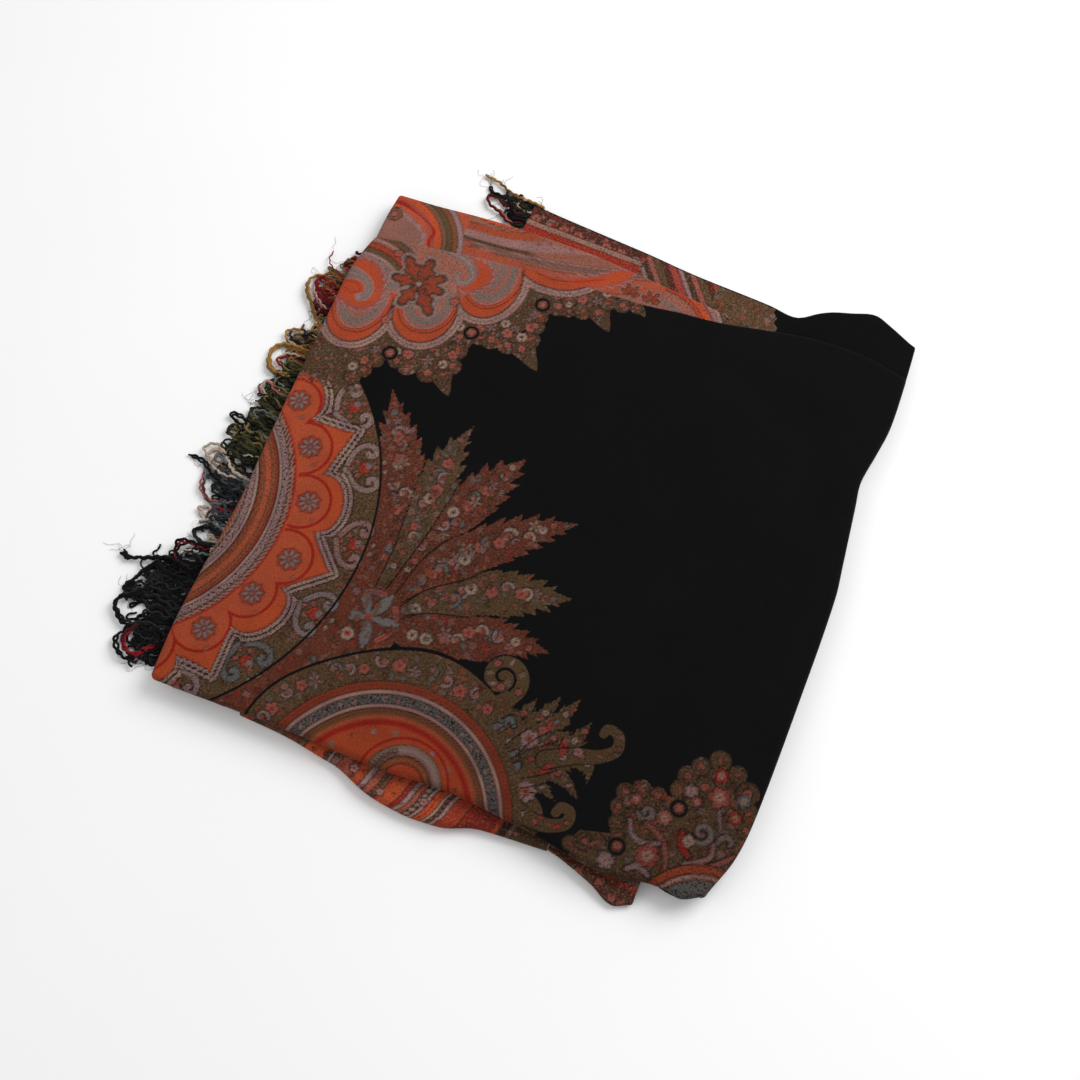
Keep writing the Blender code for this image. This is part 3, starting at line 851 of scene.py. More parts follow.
HUB_X, HUB_Y, HUB_RADIUS = -90, -112, 23.5
# The hub's flower: the tip and width of each petal, from its heart.
FLOWER = (-91, -113)
PETALS = ((-103, -94, 7.5), (-81, -92, 8.5), (-68, -111, 7), (-86, -135, 9), (-110, -117, 8.5))
# The larger motifs on the fan and its stem, as kind, x, y, size, turn and dye.
FAN_MOTIFS = (
    ("crescent", -101, -66, 8.2, 60, BLUE_GREY), ("crescent", -120, -160, 6.5, 20, BLUE_GREY),
    ("crescent", -57, -59, 5.5, 10, BLUE_GREY), ("crescent", -20, -15, 7, 40, CREAM),
    ("crescent", -61, -20, 5.5, 0, BLUE_GREY), ("crescent", 10, -52, 5.5, -60, CREAM),
    ("crescent", -38, -76, 6, -70, BLUE_GREY), ("eye", -61, -94, 4.4), ("eye", -55, -114, 4.2),
    ("cross", -33, -104, 5.5), ("crescent", -10, -92, 5.5, 0, CREAM), ("cross", -4, 0, 5.5, 20, CREAM),
    ("cross", -45, -36, 5.5, 0, CREAM), ("crescent", -84, 10, 5.5, 90),
    ("crescent", -107, -12, 5.5, 30, CREAM), ("cross", -54, 2, 5.2, 0, CREAM),
    ("cross", -118, 12, 5.5, 0, CREAM), ("crescent", -87, -42, 4.6, 10, CREAM),
    ("crescent", -133, 34, 5.5, 60), ("rose", -85, -4, 3.6),
)


def draw_fan(loom):
    stem = curve_through(((-84, -100), (-90, -124), (-109, -152), (-131, -184), (-154, -214)))
    loom.stroke(stem, 52, RUST, kind="figure", fade=0.55)
    loom.sprinkle(loom.around(stem, 24), 7.5, LEAF_DYES, 41, 0.75, 0.3)
    for k, (spine, widths, teeth, ground) in enumerate(FAN):
        dyes = LEAF_DYES if ground is RUST else FLORET_DYES
        loom.leaf(spine, widths, ground, teeth, 5.6, dyes, 50 + k)
        loom.leaf_motifs(spine, widths, 150 + k, LEAF_KINDS, first=24.0)
    at, reach, _ = loom.near(HUB_X, HUB_Y, 30)
    loom.figure(at, reach - HUB_RADIUS, RUST)
    loom.sprinkle(at[reach < HUB_RADIUS], 6, LEAF_DYES, 47, 0.6, 0.3)
    for start, end in ((80, 128), (-50, 40), (150, 195)):
        arc = [on_circle(HUB_X, HUB_Y, 19.5, degrees) for degrees in np.linspace(start, end, 9)]
        loom.branch(arc, 4.2, ROSE, 1.4)
        loom.stroke(arc, 1.2, RED)
    for tip_x, tip_y, width in PETALS:
        middle = (mix(FLOWER[0], tip_x, 0.5) + 1, mix(FLOWER[1], tip_y, 0.5))
        petal = curve_through((FLOWER, middle, (tip_x, tip_y)), 12)
        loom.drop(petal, width + 2, BROWN)
        loom.drop(petal, width, mix(BLUE_GREY, LILAC, 0.25))
    loom.disc(*FLOWER, 2.6, DEEP_ORANGE)
    loom.motif("eye", -100, -130, 5.2)
    loom.disc(-100, -130, 2.2, RED)
    for motif in FAN_MOTIFS:
        loom.motif(*motif)


# The half-moon's bands, from the outermost in, and those of the smaller moon in
# its heart: the reach and dye of each, and the dark line outside it if it has one.
MOON_X, MOON_Y = -27, -245.0
MOON_RINGS = (
    (97, mix(RUST, DEEP_ORANGE, 0.5), 0.8), (90.8, ROSE, 0.8), (87.2, mix(BLUE_GREY, BLACK, 0.35), 0.6),
    (80, ROSE, 0.6), (76.6, AMBER, 1), (72.2, OCHRE), (69.2, mix(RED, ORANGE, 0.15)), (64.8, FLAME),
)
HEART_X, HEART_Y = -18, -218.0
HEART_RINGS = (
    (28.2, mix(CREAM, OLIVE, 0.45), 0.6), (26, LILAC), (23, MAUVE), (19.8, AMBER, 1),
    (14.4, mix(ORANGE, RED, 0.3), 0.8), (7.5, ORANGE),
)


def hump(angle, middle, spread):
    return np.exp(-(((angle - middle) / spread) ** 2))


def draw_half_moon(loom):
    at, reach, angle = loom.near(MOON_X, MOON_Y, 150)
    outside = reach - (118 + 6 * hump(angle, 88, 22) + 3 * hump(angle, 152, 14))
    loom.cut(at, np.where(angle > 70, outside - 2.0 - hump(angle, 97, 16), 9))
    loom.figure(at, np.where(angle > 60, outside, np.maximum(reach - 104, outside)), OLIVE)
    loom.fleck(at, outside, 0.7)
    band = (reach > 96) & (reach < 124) & (angle > 62)
    arc = np.radians(angle)
    loom.sprinkle(at[band], 7, FLORET_DYES, 61, 0.75, 0.3, net=(arc[band] * 108, reach[band]))
    for k in range(16):
        x, y = on_circle(MOON_X, MOON_Y, 109.5, 66 + k * 6.4)
        kind = ("rose", "crescent", "rose", "crescent", "crescent", "cross")[k % 6]
        dyed = (BLUE_GREY, LILAC)[k % 2]
        loom.motif(kind, x, y + 3 * math.sin(k * 2.1), 4.2 + 0.5 * (k % 4), 40 + k * 70, dyed)
    half_moon_rings(loom, at, reach, arc)
    at, core, turn = loom.near(HEART_X, HEART_Y, 38)
    arc = np.radians(turn)
    loom.red_line(at, abs(core - 33.4) - 1)
    loom.rings(at, core, HEART_RINGS)
    keys = abs(core - 23.5) - 3.2 + 2.4 * np.sin(arc * 62)
    loom.lay(at, np.where((turn > 118) & (turn < 176), keys, 9), mix(MAUVE, BROWN, 0.6))
    loom.lay(at, abs(core - 17.5) - 0.3 - 0.5 * np.sin(arc * 55), ORANGE)


def half_moon_rings(loom, at, reach, arc):
    loom.rings(at, reach, MOON_RINGS)
    loom.fleck(at, reach - 97, 0.15)
    loom.fleck(at, abs(reach - 84) - 3.2, 1.8)
    # Rows of stitches: where each runs, its half width and swing, stitches round, dye.
    for middle, half_width, swing, stitches, dyed in (
        (94.2, 0.1, 0.4, 180, DARK_RUST), (74.6, 0.4, 0.5, 190, mix(OLIVE, BROWN, 0.4)),
        (70.8, 0.6, 0.7, 170, CORAL),
    ):
        loom.lay(at, abs(reach - middle) - half_width - swing * np.sin(arc * stitches), dyed)
    loom.pale_line(at, abs(reach - 89.2) - 0.95)
    loom.pale_line(at, abs(reach - 79) - 0.9)
    loom.red_line(at, abs(reach - 66.8) - 1.2)
    for k in range(10):
        x, y = on_circle(MOON_X, MOON_Y, 60, 24 + k * 15)
        loom.disc(x, y, (1.9, 1.3, 2.2)[k % 3], (LILAC, BROWN, SMOKE)[k % 3])
        loom.disc(x + 0.8, y, 0.9, ROSE)
    for k in range(22):
        x, y = on_circle(MOON_X, MOON_Y, 84, 14 + k * 7.3)
        loom.disc(x, y + (k % 3 - 1) * 1.2, 1.3, (ROSE, LILAC, BLACK)[k % 3])


# The bunch on the half-moon's right: each leaf's spine and its widest half width.
BUNCH = (
    (((24, -168), (40, -148), (48, -124)), 8), (((34, -172), (52, -146), (64, -116)), 8.5),
    (((44, -176), (64, -144), (78, -112)), 9.5), (((56, -166), (72, -146), (87, -136)), 5.5),
    (((60, -172), (82, -150), (91, -126)), 8.5), (((48, -204), (72, -182), (88, -189)), 7),
    (((52, -186), (82, -170), (103, -182)), 7.5),
    (((54, -176), (82, -158), (100, -157), (104, -170)), 9),
)
LEAF_WIDTHS = (0.8, 0.95, 1, 0.95, 0.75, 0.45, 0)
# Its curled ends, its blue twigs with their widths, and its buds as x, y, size and turn.
HOOKS = (
    ((70, -164), (90, -153), (106, -147), (115, -138), (112, -128), (103, -127), (102, -131)),
    ((58, -202), (74, -207), (90, -206), (101, -199), (100, -192), (93, -191), (91, -196)),
)
BUNCH_TWIGS = (
    (((12, -157), (24, -158), (32, -150), (36, -145), (40, -149)), 4),
    (((24, -157), (30, -162), (38, -167), (46, -170), (49, -166)), 4),
    (((22, -150), (27, -148), (31, -149)), 3), (((48, -176), (52, -178), (54, -174)), 5),
)
BUNCH_BUDS = (
    (79, -151, 6, 100), (73, -170, 5.5, 60), (64, -140, 3.8, 90), (67, -154, 3, 45),
    (61, -167, 3, 20), (95, -205, 3.4, 20), (84, -202, 3, 40), (12, -147, 3.4, 45),
)


def draw_bunch(loom):
    at, *_ = loom.near(38, -180, 60)
    body = loom.polar(at, 41, -173)[0] - 36
    low = np.hypot((loom.x[at] - 60) / 1.25, loom.y[at] + 208) - 20
    ground = np.minimum(body, low)
    loom.figure(at, body, OLIVE)
    loom.figure(at, low, OLIVE)
    loom.fleck(at, ground, 0.7)
    loom.sprinkle(at[ground < -1], 7, FLORET_DYES, 71, 0.8, 0.3)
    for k, (spine, half_width) in enumerate(BUNCH):
        widths = [half_width * share for share in LEAF_WIDTHS]
        loom.leaf(spine, widths, OLIVE, 3, 3.4, FLORET_DYES, 72 + k, rim=1.0, pitch=6.5)
        loom.leaf_motifs(spine, widths, 172 + k, ("rose", "bud", "eye"), 11, 14)
    for hook in HOOKS:
        hook = curve_through(hook, 36)
        loom.stroke(hook, 15.2, kind="cut", fade=0.5)
        loom.stroke(hook, 13, OLIVE, kind="figure", fade=0.5)
        for k in (6, 12, 18, 24):
            loom.motif(("eye", "rose", "bud", "rose")[k // 6 - 1], *hook[k], 2.6 - 0.04 * k, k * 30, ROSE)
    scroll = scroll_run(19, -119, 17, -55, 1.45, 0.1)
    arm = curve_through(((-20, -136), (2, -146), (18, -143), scroll[0]), 14)
    loom.stroke(scroll, 13.5, kind="cut", fade=0.35)
    loom.stroke(arm, 12.5, OLIVE, kind="figure")
    loom.stroke(scroll, 9.9, OLIVE, kind="figure", fade=0.3)
    for k in range(8):
        kind, dyed = (("rose", ROSE), ("cross", CREAM), ("bud", LILAC))[k % 3]
        loom.motif(kind, *scroll[2 + k * 3], 2.7, k * 40, dyed)
    for run, width in BUNCH_TWIGS:
        loom.branch(curve_through(run), width, BLUE_GREY, 1.8, taper=0.3)
    for x, y, size, turn in BUNCH_BUDS:
        loom.motif("bud", x, y, size, turn, mix(RED, ROSE, 0.3))
    for x, y, size, petals in (
        (66, -190, 7.5, 8), (54, -154, 6.5, 6), (90, -150, 3.6, 5), (36, -188, 4, 5),
    ):
        loom.floret(x, y, size, petals, LILAC, ROSE, turn=x)
        loom.floret(x, y, size * 0.55, 5, ROSE, BROWN, turn=y, outline=None)


# The palmettes' round lobes on the right, as middle and radius.
PALMETTE_LOBES = (
    (143, -178, 7), (158, -176, 8), (182, -140, 8), (198, -140, 7), (205, -150, 7), (178, -152, 7),
    (131, -164, 6.6), (141, -158, 7), (153, -158, 6.4), (162, -160, 5), (130, -175, 6), (133, -186, 6),
    (137, -195, 5.5), (186, -118, 8), (174.5, -127, 7), (200.5, -123, 7), (168, -137, 7.4),
    (166, -148, 7), (211.5, -133, 8.6), (217, -146, 7.5), (219, -158, 7), (108, -212, 6), (117, -207, 6.5),
    (126, -204, 6),
)
# Their vines with width and dye, their flowers as x, y, size, petals and dye, and
# the half-moon at their foot.
VINES = (
    (((152, -179), (162, -183), (171, -192), (176, -206)), 3.2, ROSE),
    (((141, -181), (146, -190), (156, -193), (166, -189)), 3.4, LILAC),
    (((201, -176), (202, -184), (194, -192), (186, -196)), 3.4, HEATHER),
    (((217, -178), (210, -186), (204, -190)), 3, ROSE),
    (((150, -214), (158, -209), (166, -213)), 4, LILAC),
    (((178, -176), (180, -184), (187, -190)), 5, RED),
    (((196, -150), (200, -160), (203, -166)), 1.6, LILAC),
)
FLOWERS = (
    (194, -143, 7.6, 5, ROSY), (190, -128, 5.4, 5, RED), (161, -200, 8, 7, ROSY),
    (135, -214, 6, 6, LILAC), (174, -146, 4.6, 6, LILAC), (211, -139, 4.6, 6, BLUE_GREY),
    (163, -171, 5.2, 5, ROSE), (184, -180, 4.4, 4, CREAM), (209, -153, 4.4, 5, DEEP_ORANGE),
    (140, -166, 4, 5, ROSY), (180, -152, 3.6, 5, ROSY),
)
FOOT_RINGS = (
    (50.8, mix(ORANGE, RUST, 0.4), 1.2), (44.8, ROSE, 1), (40.2, BLUE_GREY, 0.8), (18, OLIVE, 2),
)


def draw_palmettes(loom):
    at, *_ = loom.near(185, -190, 75)
    x, y = loom.x[at], loom.y[at]
    hill = np.hypot((x - 196) / 0.92, y + 172) - 38
    top = np.hypot((x - 188) / 0.9, y + 136) - 16
    slope = np.hypot(x - 152, (y + 181) / 1.05) - 24
    foot = np.maximum(98 - x, y + 204 - (x - 100) * 0.28)
    loom.figure(at, np.minimum.reduce([hill, slope, foot, top]), OLIVE)
    loom.lobes(PALMETTE_LOBES, OLIVE)
    loom.fleck(at, -1, 0.7)
    loom.sprinkle(at, 7, FLORET_DYES, 81, 0.8, 0.32)
    for k, (px, py, radius) in enumerate(PALMETTE_LOBES):
        loom.stroke([(mix(px, 186, 0.22), mix(py, -168, 0.22)), (px, py)], 1, BROWN)
        loom.motif(("rose", "bud")[k % 2], px, py, radius * 0.36, k * 50, SALMON)
    for scroll in ((150, -172, 6.2, 200, 1.1), (191, -171, 8.6, 210, 1.3), (210, -172, 7, 200, -0.6)):
        run = scroll_run(*scroll, 0.2)
        loom.branch(run, 3.6, mix(BLUE_GREY, LILAC, 0.3), 1.8, taper=0.4)
        loom.stroke(run, 0.9, MAUVE)
    for run, width, dyed in VINES:
        loom.branch(curve_through(run), width, dyed, 1.8, taper=0.4)
    for fx, fy, size, petals, dyed in FLOWERS:
        loom.floret(fx, fy, size, petals, dyed, HEATHER, turn=fx)
        loom.floret(fx, fy, size * 0.5, 5, CREAM, RED, turn=fy, outline=None)
    loom.berry(170, -161)
    loom.berry(139, -202)
    at, *_ = loom.near(215, -240, 70)
    reach, _ = loom.polar(at, 213, -241)
    loom.rings(at, reach, FOOT_RINGS)
    loom.pale_line(at, abs(reach - 43) - 0.9)
    loom.fleck(at, reach - 40, 1.8)


# The hanging scallops along the back: middle, half width and half depth.
SCALLOPS = (
    (-209, 128, 28.5, 37), (-158, 143, 28.5, 33), (-119, 187, 28, 37), (-77, 229, 40, 31),
    (-262, 100, 30, 30),
)


def scallop_distance(x, y, grow=0.0, lift=0.0):
    """Out from the cloud band, whose lower edge hangs in scallops."""
    nearest = np.full(len(x), 99.0)
    for middle_x, middle_y, wide, deep in SCALLOPS:
        wide, deep = wide + grow, deep + grow
        across, down = (x - middle_x) / wide, (y - middle_y - lift) / deep
        reach = np.hypot(across, down) + 1e-6
        stretch = np.hypot(across / wide, down / deep) / reach
        nearest = np.minimum(nearest, (reach - 1) / np.maximum(stretch, 1e-6))
    above = np.maximum(140 - y, x + 150) * 0.9
    higher = np.maximum(186 - y, x + 112) * 0.9
    return np.minimum(nearest, np.minimum(above, higher) - grow)


# The small round lobes along the olive edge, as middle and radius, and its tips.
EDGE_LOBES = (
    (-187, 66, 7), (-181, 75, 6.5), (-176, 87, 7), (-160, 92, 6.5), (-150, 91, 8), (-133, 91, 8.5),
    (-121, 94, 7), (-117, 104, 7.5), (-119, 119, 8.5), (-122, 131, 7), (-107, 136, 6.5), (-98, 138, 8.5),
    (-89, 147, 7), (-84, 138, 8), (-80, 147, 6), (-72, 139, 8), (-69, 150, 8), (-70, 163, 8),
    (-70, 173, 7), (-60, 187, 8.5), (-54, 197, 7), (-50, 186, 5), (-40, 191, 8), (-28, 194, 8),
    (-24, 205, 7), (-12, 208, 7), (0, 210, 5.5),
)
EDGE_TIPS = (
    (((-126, 100), (-119, 90), (-109, 78)), 8), (((-76, 146), (-66, 136), (-53, 125)), 8.5),
    (((-32, 200), (-24, 191), (-13, 180)), 8), (((-8, 212), (2, 210), (9, 204)), 5),
)
# The bands inside each scallop, from its orange crescent in, and those of the arc
# at the far left.
SCALLOP_BANDS = (
    (0, HEATHER), (1.2, mix(MAUVE, ROSE, 0.2)), (4, mix(BLUE_GREY, MAUVE, 0.45)),
    (8, PEACH), (12, mix(BLUE_GREY, MAUVE, 0.65)), (16, MAUVE),
)
ARC_RINGS = (
    (86, MAUVE), (81, OLIVE, 1), (75.7, mix(MAUVE, ROSE, 0.4), 0.8), (69.7, DEEP_ORANGE, 0.8),
    (64.5, OLIVE, 1), (60, HEATHER, 0.5), (57, GREY_MAUVE),
)


def draw_cloud_band(loom):
    at = np.flatnonzero((loom.y > 50) & (loom.x < 40))
    x, y = loom.x[at], loom.y[at]
    edge = scallop_distance(x, y)
    side = np.maximum.reduce([x + 182, 56 - y, y - 120])
    loom.figure(at, np.minimum(edge - 21, side), MOSS)
    for spine, half_width in EDGE_TIPS:
        loom.leaf(spine, [half_width * share for share in LEAF_WIDTHS], MOSS, 0, rim=0.5)
    loom.lobes(EDGE_LOBES, MOSS)
    close = at[edge < 44]
    loom.fleck(close, -1, 0.75)
    loom.sprinkle(close, 5.6, FLORET_DYES, 91, 0.85, 0.32)
    for k, (fx, fy, radius) in enumerate(EDGE_LOBES):
        loom.motif(("bud", "rose")[k % 2], fx, fy + 0.5, 0.36 * radius, k * 37, SALMON)
        inner = (fx - 0.5 * radius, fy + 1.3 * radius)
        loom.motif(("eye", "rose", "cross")[k % 3], *inner, 0.55 * radius, k * 37, LILAC)
    for berry in ((-168, 97), (-115, 138), (-72, 184)):
        loom.berry(*berry)
    loom.lay(at, abs(edge - 0.3) - 3.9, BROWN)
    loom.lay(at, abs(edge - 0.5) - 2.9, mix(PALE, ROSE, 0.25))
    stitches = 0.5 * np.sin((x + y) * math.tau / 2.7)
    loom.pale_line(at, abs(abs(edge - 0.5) - 1.6) - 0.4 + stitches)
    loom.lay(at, abs(edge - 0.5) - 0.3, mix(MAUVE, BROWN, 0.4))
    loom.lay(at, edge + 3.6, ROSY)
    loom.lay(at, edge + 4.4, FLAME)
    loom.fleck(at, edge + 3, 0.3)
    core = scallop_distance(x, y, grow=-8, lift=7.5)
    loom.lay(at, abs(core - 3.2) - 0.5, UMBER)
    for deeper, dyed in SCALLOP_BANDS:
        inner = scallop_distance(x, y, grow=-8.0 - deeper, lift=7.5 + 0.3 * deeper)
        loom.lay(at, inner, dyed, softness=1.2)
    loom.fleck(at, core, 0.5)
    loom.red_line(at, np.where(edge < -5, abs(core - 0.4) - 0.5, 9))
    top = np.flatnonzero((loom.y > 164) & (loom.x < -134) & (loom.x > -204))
    above = (168 - loom.y[top]) / 4
    loom.lay(top, above, PEACH, softness=4)
    loom.fleck(top, above, 0.6)
    at = np.flatnonzero((loom.y > 160) & (loom.x < -186))
    reach = np.hypot((loom.x[at] + 220) * 1.2, loom.y[at] - 118)
    loom.rings(at, reach, ARC_RINGS)
    loom.pale_line(at, abs(reach - 58.6) - 0.6)
    loom.pale_line(at, abs(reach - 73.4) - 0.6)
    draw_botehs(loom)
    oak_rosette(loom, -173, 165, 1, (
        (87, 23), (36, 20), (-2, 19), (-50, 29), (-106, 22), (182, 20), (132, 26),
    ))
    for fx, fy in ((-200, 186), (-139, 160), (-184, 124)):
        loom.motif("rose", fx, fy, 3.4, fx)


def feathered(loom, points, inset, teeth):
    """A shape with feathered edges: rose round its orange middle."""
    loom.patch(points, ROSY, teeth, 3.4, LILAC)
    loom.patch(points, FLAME, teeth - 3, 2.2, ROSY, inset)


def draw_botehs(loom):
    """The bent drops of the pattern: toothed orange round a curled heart."""
    feathered(loom, ((-236, 171), (-217, 174), (-204, 167), (-196, 154), (-193, 141), (-198, 129),
                     (-208, 122), (-220, 123), (-236, 130)), 4.4, 18)
    loom.patch(((-238, 160), (-221, 159), (-210, 153), (-205, 144), (-207, 136), (-213, 133), (-216, 137),
                (-211, 140), (-212, 147), (-219, 151), (-238, 149)), GREY_MAUVE, line=LILAC)
    loom.stroke(curve_through(((-232, 155), (-217, 154), (-209, 147), (-209, 138))), 1, LILAC)
    loom.stroke(curve_through(((-230, 146), (-219, 147), (-215, 142), (-219, 138), (-228, 140))), 1, RED)
    loom.disc(-213, 136, 2.2, LILAC)
    feathered(loom, ((-152, 206), (-132, 207), (-120, 200), (-117, 189), (-121, 179), (-131, 171),
                     (-142, 170), (-149, 176), (-140, 181), (-135, 190), (-140, 199)), 3, 17)
    swirl = curve_through(((-182, 203), (-158, 203), (-142, 198), (-135, 188), (-139, 179), (-146, 180),
                           (-146, 187)), 30)
    loom.stroke(swirl, 7, GREY_MAUVE, taper=0.3)
    loom.stroke(swirl, 2, LILAC, taper=0.5)
    loom.disc(-143, 186, 2.6, ROSE)


def oak_rosette(loom, x, y, size, leaves):
    """A rosette of lobed leaves, each as the way it points and its length, with lines round them."""
    layers = ((3, LILAC), (2.1, GREY_MAUVE), (1, BROWN), (0, RUST), (-1.9, mix(DEEP_ORANGE, RUST, 0.4)))
    for more, dyed in layers:
        for angle, length in leaves:
            spine = [(x, y), on_circle(x, y, length * size, angle)]
            at = loom.around(spine, 12 * size)
            distance, along, _ = run_distance(loom.x[at], loom.y[at], spine)
            full = 5.8 * (0.1 + 0.8 * np.sin(math.pi * np.clip(along, 0, 1) ** 1.4 * 0.94))
            forward = along - 0.4 * distance / length / size
            full += 1.5 * np.cos(forward * math.tau * 2.6 - 2) * smooth(0.2, 0.4, along)
            loom.lay(at, distance - (full + more) * size, dyed)
    loom.disc(x, y, 3.2 * size, BROWN)
    loom.disc(x, y, 2.4 * size, LILAC)


def draw_top(loom):
    draw_fan(loom)
    draw_medallion(loom)
    draw_bunch(loom)
    draw_half_moon(loom)
    draw_palmettes(loom)
    draw_cloud_band(loom)


# ---------------- other stretches

def stripes(loom, at, across, rows, line=BROWN):
    """Bands of colour side by side, with dark lines between them."""
    for start, end, dyed in rows:
        outside = abs(across - (start + end) / 2) - (end - start) / 2
        loom.lay(at, outside, line)
        loom.lay(at, outside + 0.5, dyed)


# The second stretch's swirl at its left end and the arcs at its right, outermost
# first, and the bands that sweep between them.
SWIRL_RINGS = (
    (75, CORAL), (65.7, LILAC, 0.8), (61.2, AMBER, 0.8), (56.8, OLIVE, 0.7),
    (52.3, mix(MAUVE, OLIVE, 0.5), 0.7), (48.7, ORANGE, 0.8), (43, ROSY), (39, CORAL), (30, ROSE),
    (28, ORANGE),
)
RIGHT_RINGS = (
    (60, PALE, 1), (56.4, HEATHER, 0.6), (52.2, ROSY, 0.8), (50.6, ORANGE),
    (45.4, mix(RED, ORANGE, 0.5), 0.6), (41.8, PEACH, 0.7), (33, GREY_MAUVE), (28, PEACH),
)
SWEEPING_BANDS = (
    (11.5, 19, mix(RUST, ORANGE, 0.6)), (8, 10.8, mix(ROSE, RUST, 0.4)), (6, 8, PEACH),
    (4.4, 6, LILAC), (-0.6, 1.2, LILAC), (-3.2, -1.2, GREY_MAUVE), (-14, -4.5, mix(CORAL, RUST, 0.2)),
)
SWIRL_EDGE = 66


def draw_second(loom):
    at, x, y = loom.whole()
    loom.figure(at, x - 122 + 3 * np.sin(y * 0.8), PEACH)
    swirl = np.hypot((x + 222) * 0.95, y - 196)
    left = at[x < -138]
    loom.rings(left, swirl[left], SWIRL_RINGS)
    loom.red_line(left, abs(swirl[left] - 41 + 2.5 * np.sin(y[left] / 4)) - 1.3)
    shore = ((-240, 229), (-218, 230), (-206, 225), (-195, 220), (-186, 210), (-188, 198), (-240, 198))
    loom.patch(shore, LILAC, 15, 2.4, ROSE)
    loom.patch(shore, mix(MAUVE, ROSE, 0.3), 13, 1.6, GREY_MAUVE, 3.6)
    for radius, dyed in ((7, BROWN), (6, mix(OLIVE, ROSE, 0.4)), (3.4, BROWN), (2.6, ROSE)):
        loom.disc(-221, 223, radius, dyed)
    # Lines that sweep up to the right, with feathers above and below them.
    right = at[(x > -160) & (x < 20) & (swirl > SWIRL_EDGE)]
    rx, ry = x[right], y[right]
    sweep = ry - 221.5 - 0.00112 * np.maximum(rx + 158, 0) ** 2
    sweep /= mix(1, 1.7, smooth(-140, -70, rx))
    stripes(loom, right, sweep, SWEEPING_BANDS, line=UMBER)
    loom.lay(right, np.maximum(abs(sweep - 3) - 1.5, 0.12 * (rx + 96)), DARK_OLIVE)
    loom.lay(right, np.maximum(2.4 - sweep, -(rx + 100) * 0.2), mix(PEACH, RUST, 0.2), softness=3)
    loom.lay(right, abs(sweep - 8) - 0.7 - 3 * smooth(-60, -100, rx), HEATHER, softness=2)
    loom.fleck(right, -1, 0.5)
    loom.patch(((-162, 246), (-140, 243), (-120, 246), (-104, 252), (-104, 262), (-162, 262)), ORANGE,
               teeth=19, bite=2.6, line=UMBER)
    feathered(loom, ((-158, 209), (-120, 210), (-92, 213), (-66, 221), (-44, 231), (-26, 245), (-13, 246),
                     (-16, 232), (-28, 222), (-44, 214), (-64, 207), (-90, 200), (-150, 198)), 2.6, 38)
    loom.stroke(curve_through(((-150, 203), (-100, 206), (-64, 214), (-36, 228))), 1.2, RED)
    for k in range(14):
        loom.motif("bud", -98 + k * 9, 240 + 5 * math.sin(k * 2.4) + k * 0.4, 1.6, k * 40, ROSE)
    for fx in (-11, 7):
        oak_rosette(loom, fx, 221, 0.42, ((150, 20), (112, 26), (72, 26), (32, 18)))
    # The arcs, and olive beyond them.
    end = at[x > 14]
    arc = np.hypot(x[end] - 16, (y[end] - 196) * 1.02)
    loom.lay(end, -5, OLIVE)
    loom.fleck(end, -5, 0.7)
    loom.sprinkle(end, 7.2, FLORET_DYES, 205)
    loom.rings(end, arc, RIGHT_RINGS)
    for leaf_x in (76, 92, 106):
        loom.leaf(((leaf_x - 6, 214), (leaf_x, 228), (leaf_x + 5, 238)), (4, 6, 6, 4, 0), OLIVE, 2, 2.5,
                  FLORET_DYES, leaf_x, rim=0.7, pitch=6.0)
    loom.motif("cross", 68, 236, 4, 0, CREAM)


def draw_third(loom):
    at, x, y = loom.whole()
    hem = back_of(THIRD_BACK)(x) - y
    side_teeth = 108 + 6 * abs(((y / 9) % 1) - 0.5) - 0.35 * (y - 240)
    hem_teeth = 1.6 + 1.8 * abs((x / 6.5) % 1.0 - 0.5)
    loom.figure(at, np.maximum(x - side_teeth, hem_teeth - hem), DARK_RUST)
    loom.fleck(at, -1, 0.8)
    loom.sprinkle(at, 6.4, (mix(ROSE, DARK_RUST, 0.3), ROSE, DARK_OLIVE, RED, BROWN, LILAC), 211)
    for k, fx in enumerate(range(-112, 100, 13)):
        loom.motif(("rose", "crescent", "rose")[k % 3], fx, 269 - (fx + 118) * 0.075, 4.4, fx * 3, HEATHER)
    line = y - 259.0 + 0.039 * x
    selvedge = np.where(x < -14, line, 9)
    loom.lay(at, np.maximum(line + 2.4, x + 14), mix(RED, DEEP_ORANGE, 0.35))
    loom.lay(at, abs(selvedge) - 3, BROWN)
    loom.lay(at, abs(selvedge) - 2.1, mix(CREAM, ROSE, 0.3))
    loom.lay(at, abs(selvedge + 0.2) - 0.3, DUSK)
    middle = at[(x > -12) & (x < 52)]
    stripes(loom, middle, ((x * 0.8 + y * 0.6) % 30)[middle], (
        (0, 5, ROSE), (5, 11, OLIVE), (11, 15, DARK_RUST), (15, 22, mix(RED, ROSE, 0.4)),
        (22, 26, LILAC), (26, 30, DARK_OLIVE),
    ))
    far = at[(x > 52) & (loom.bare < 0)]
    loom.lay(far, -5, OLIVE)
    loom.sprinkle(far, 6.6, FLORET_DYES, 213)


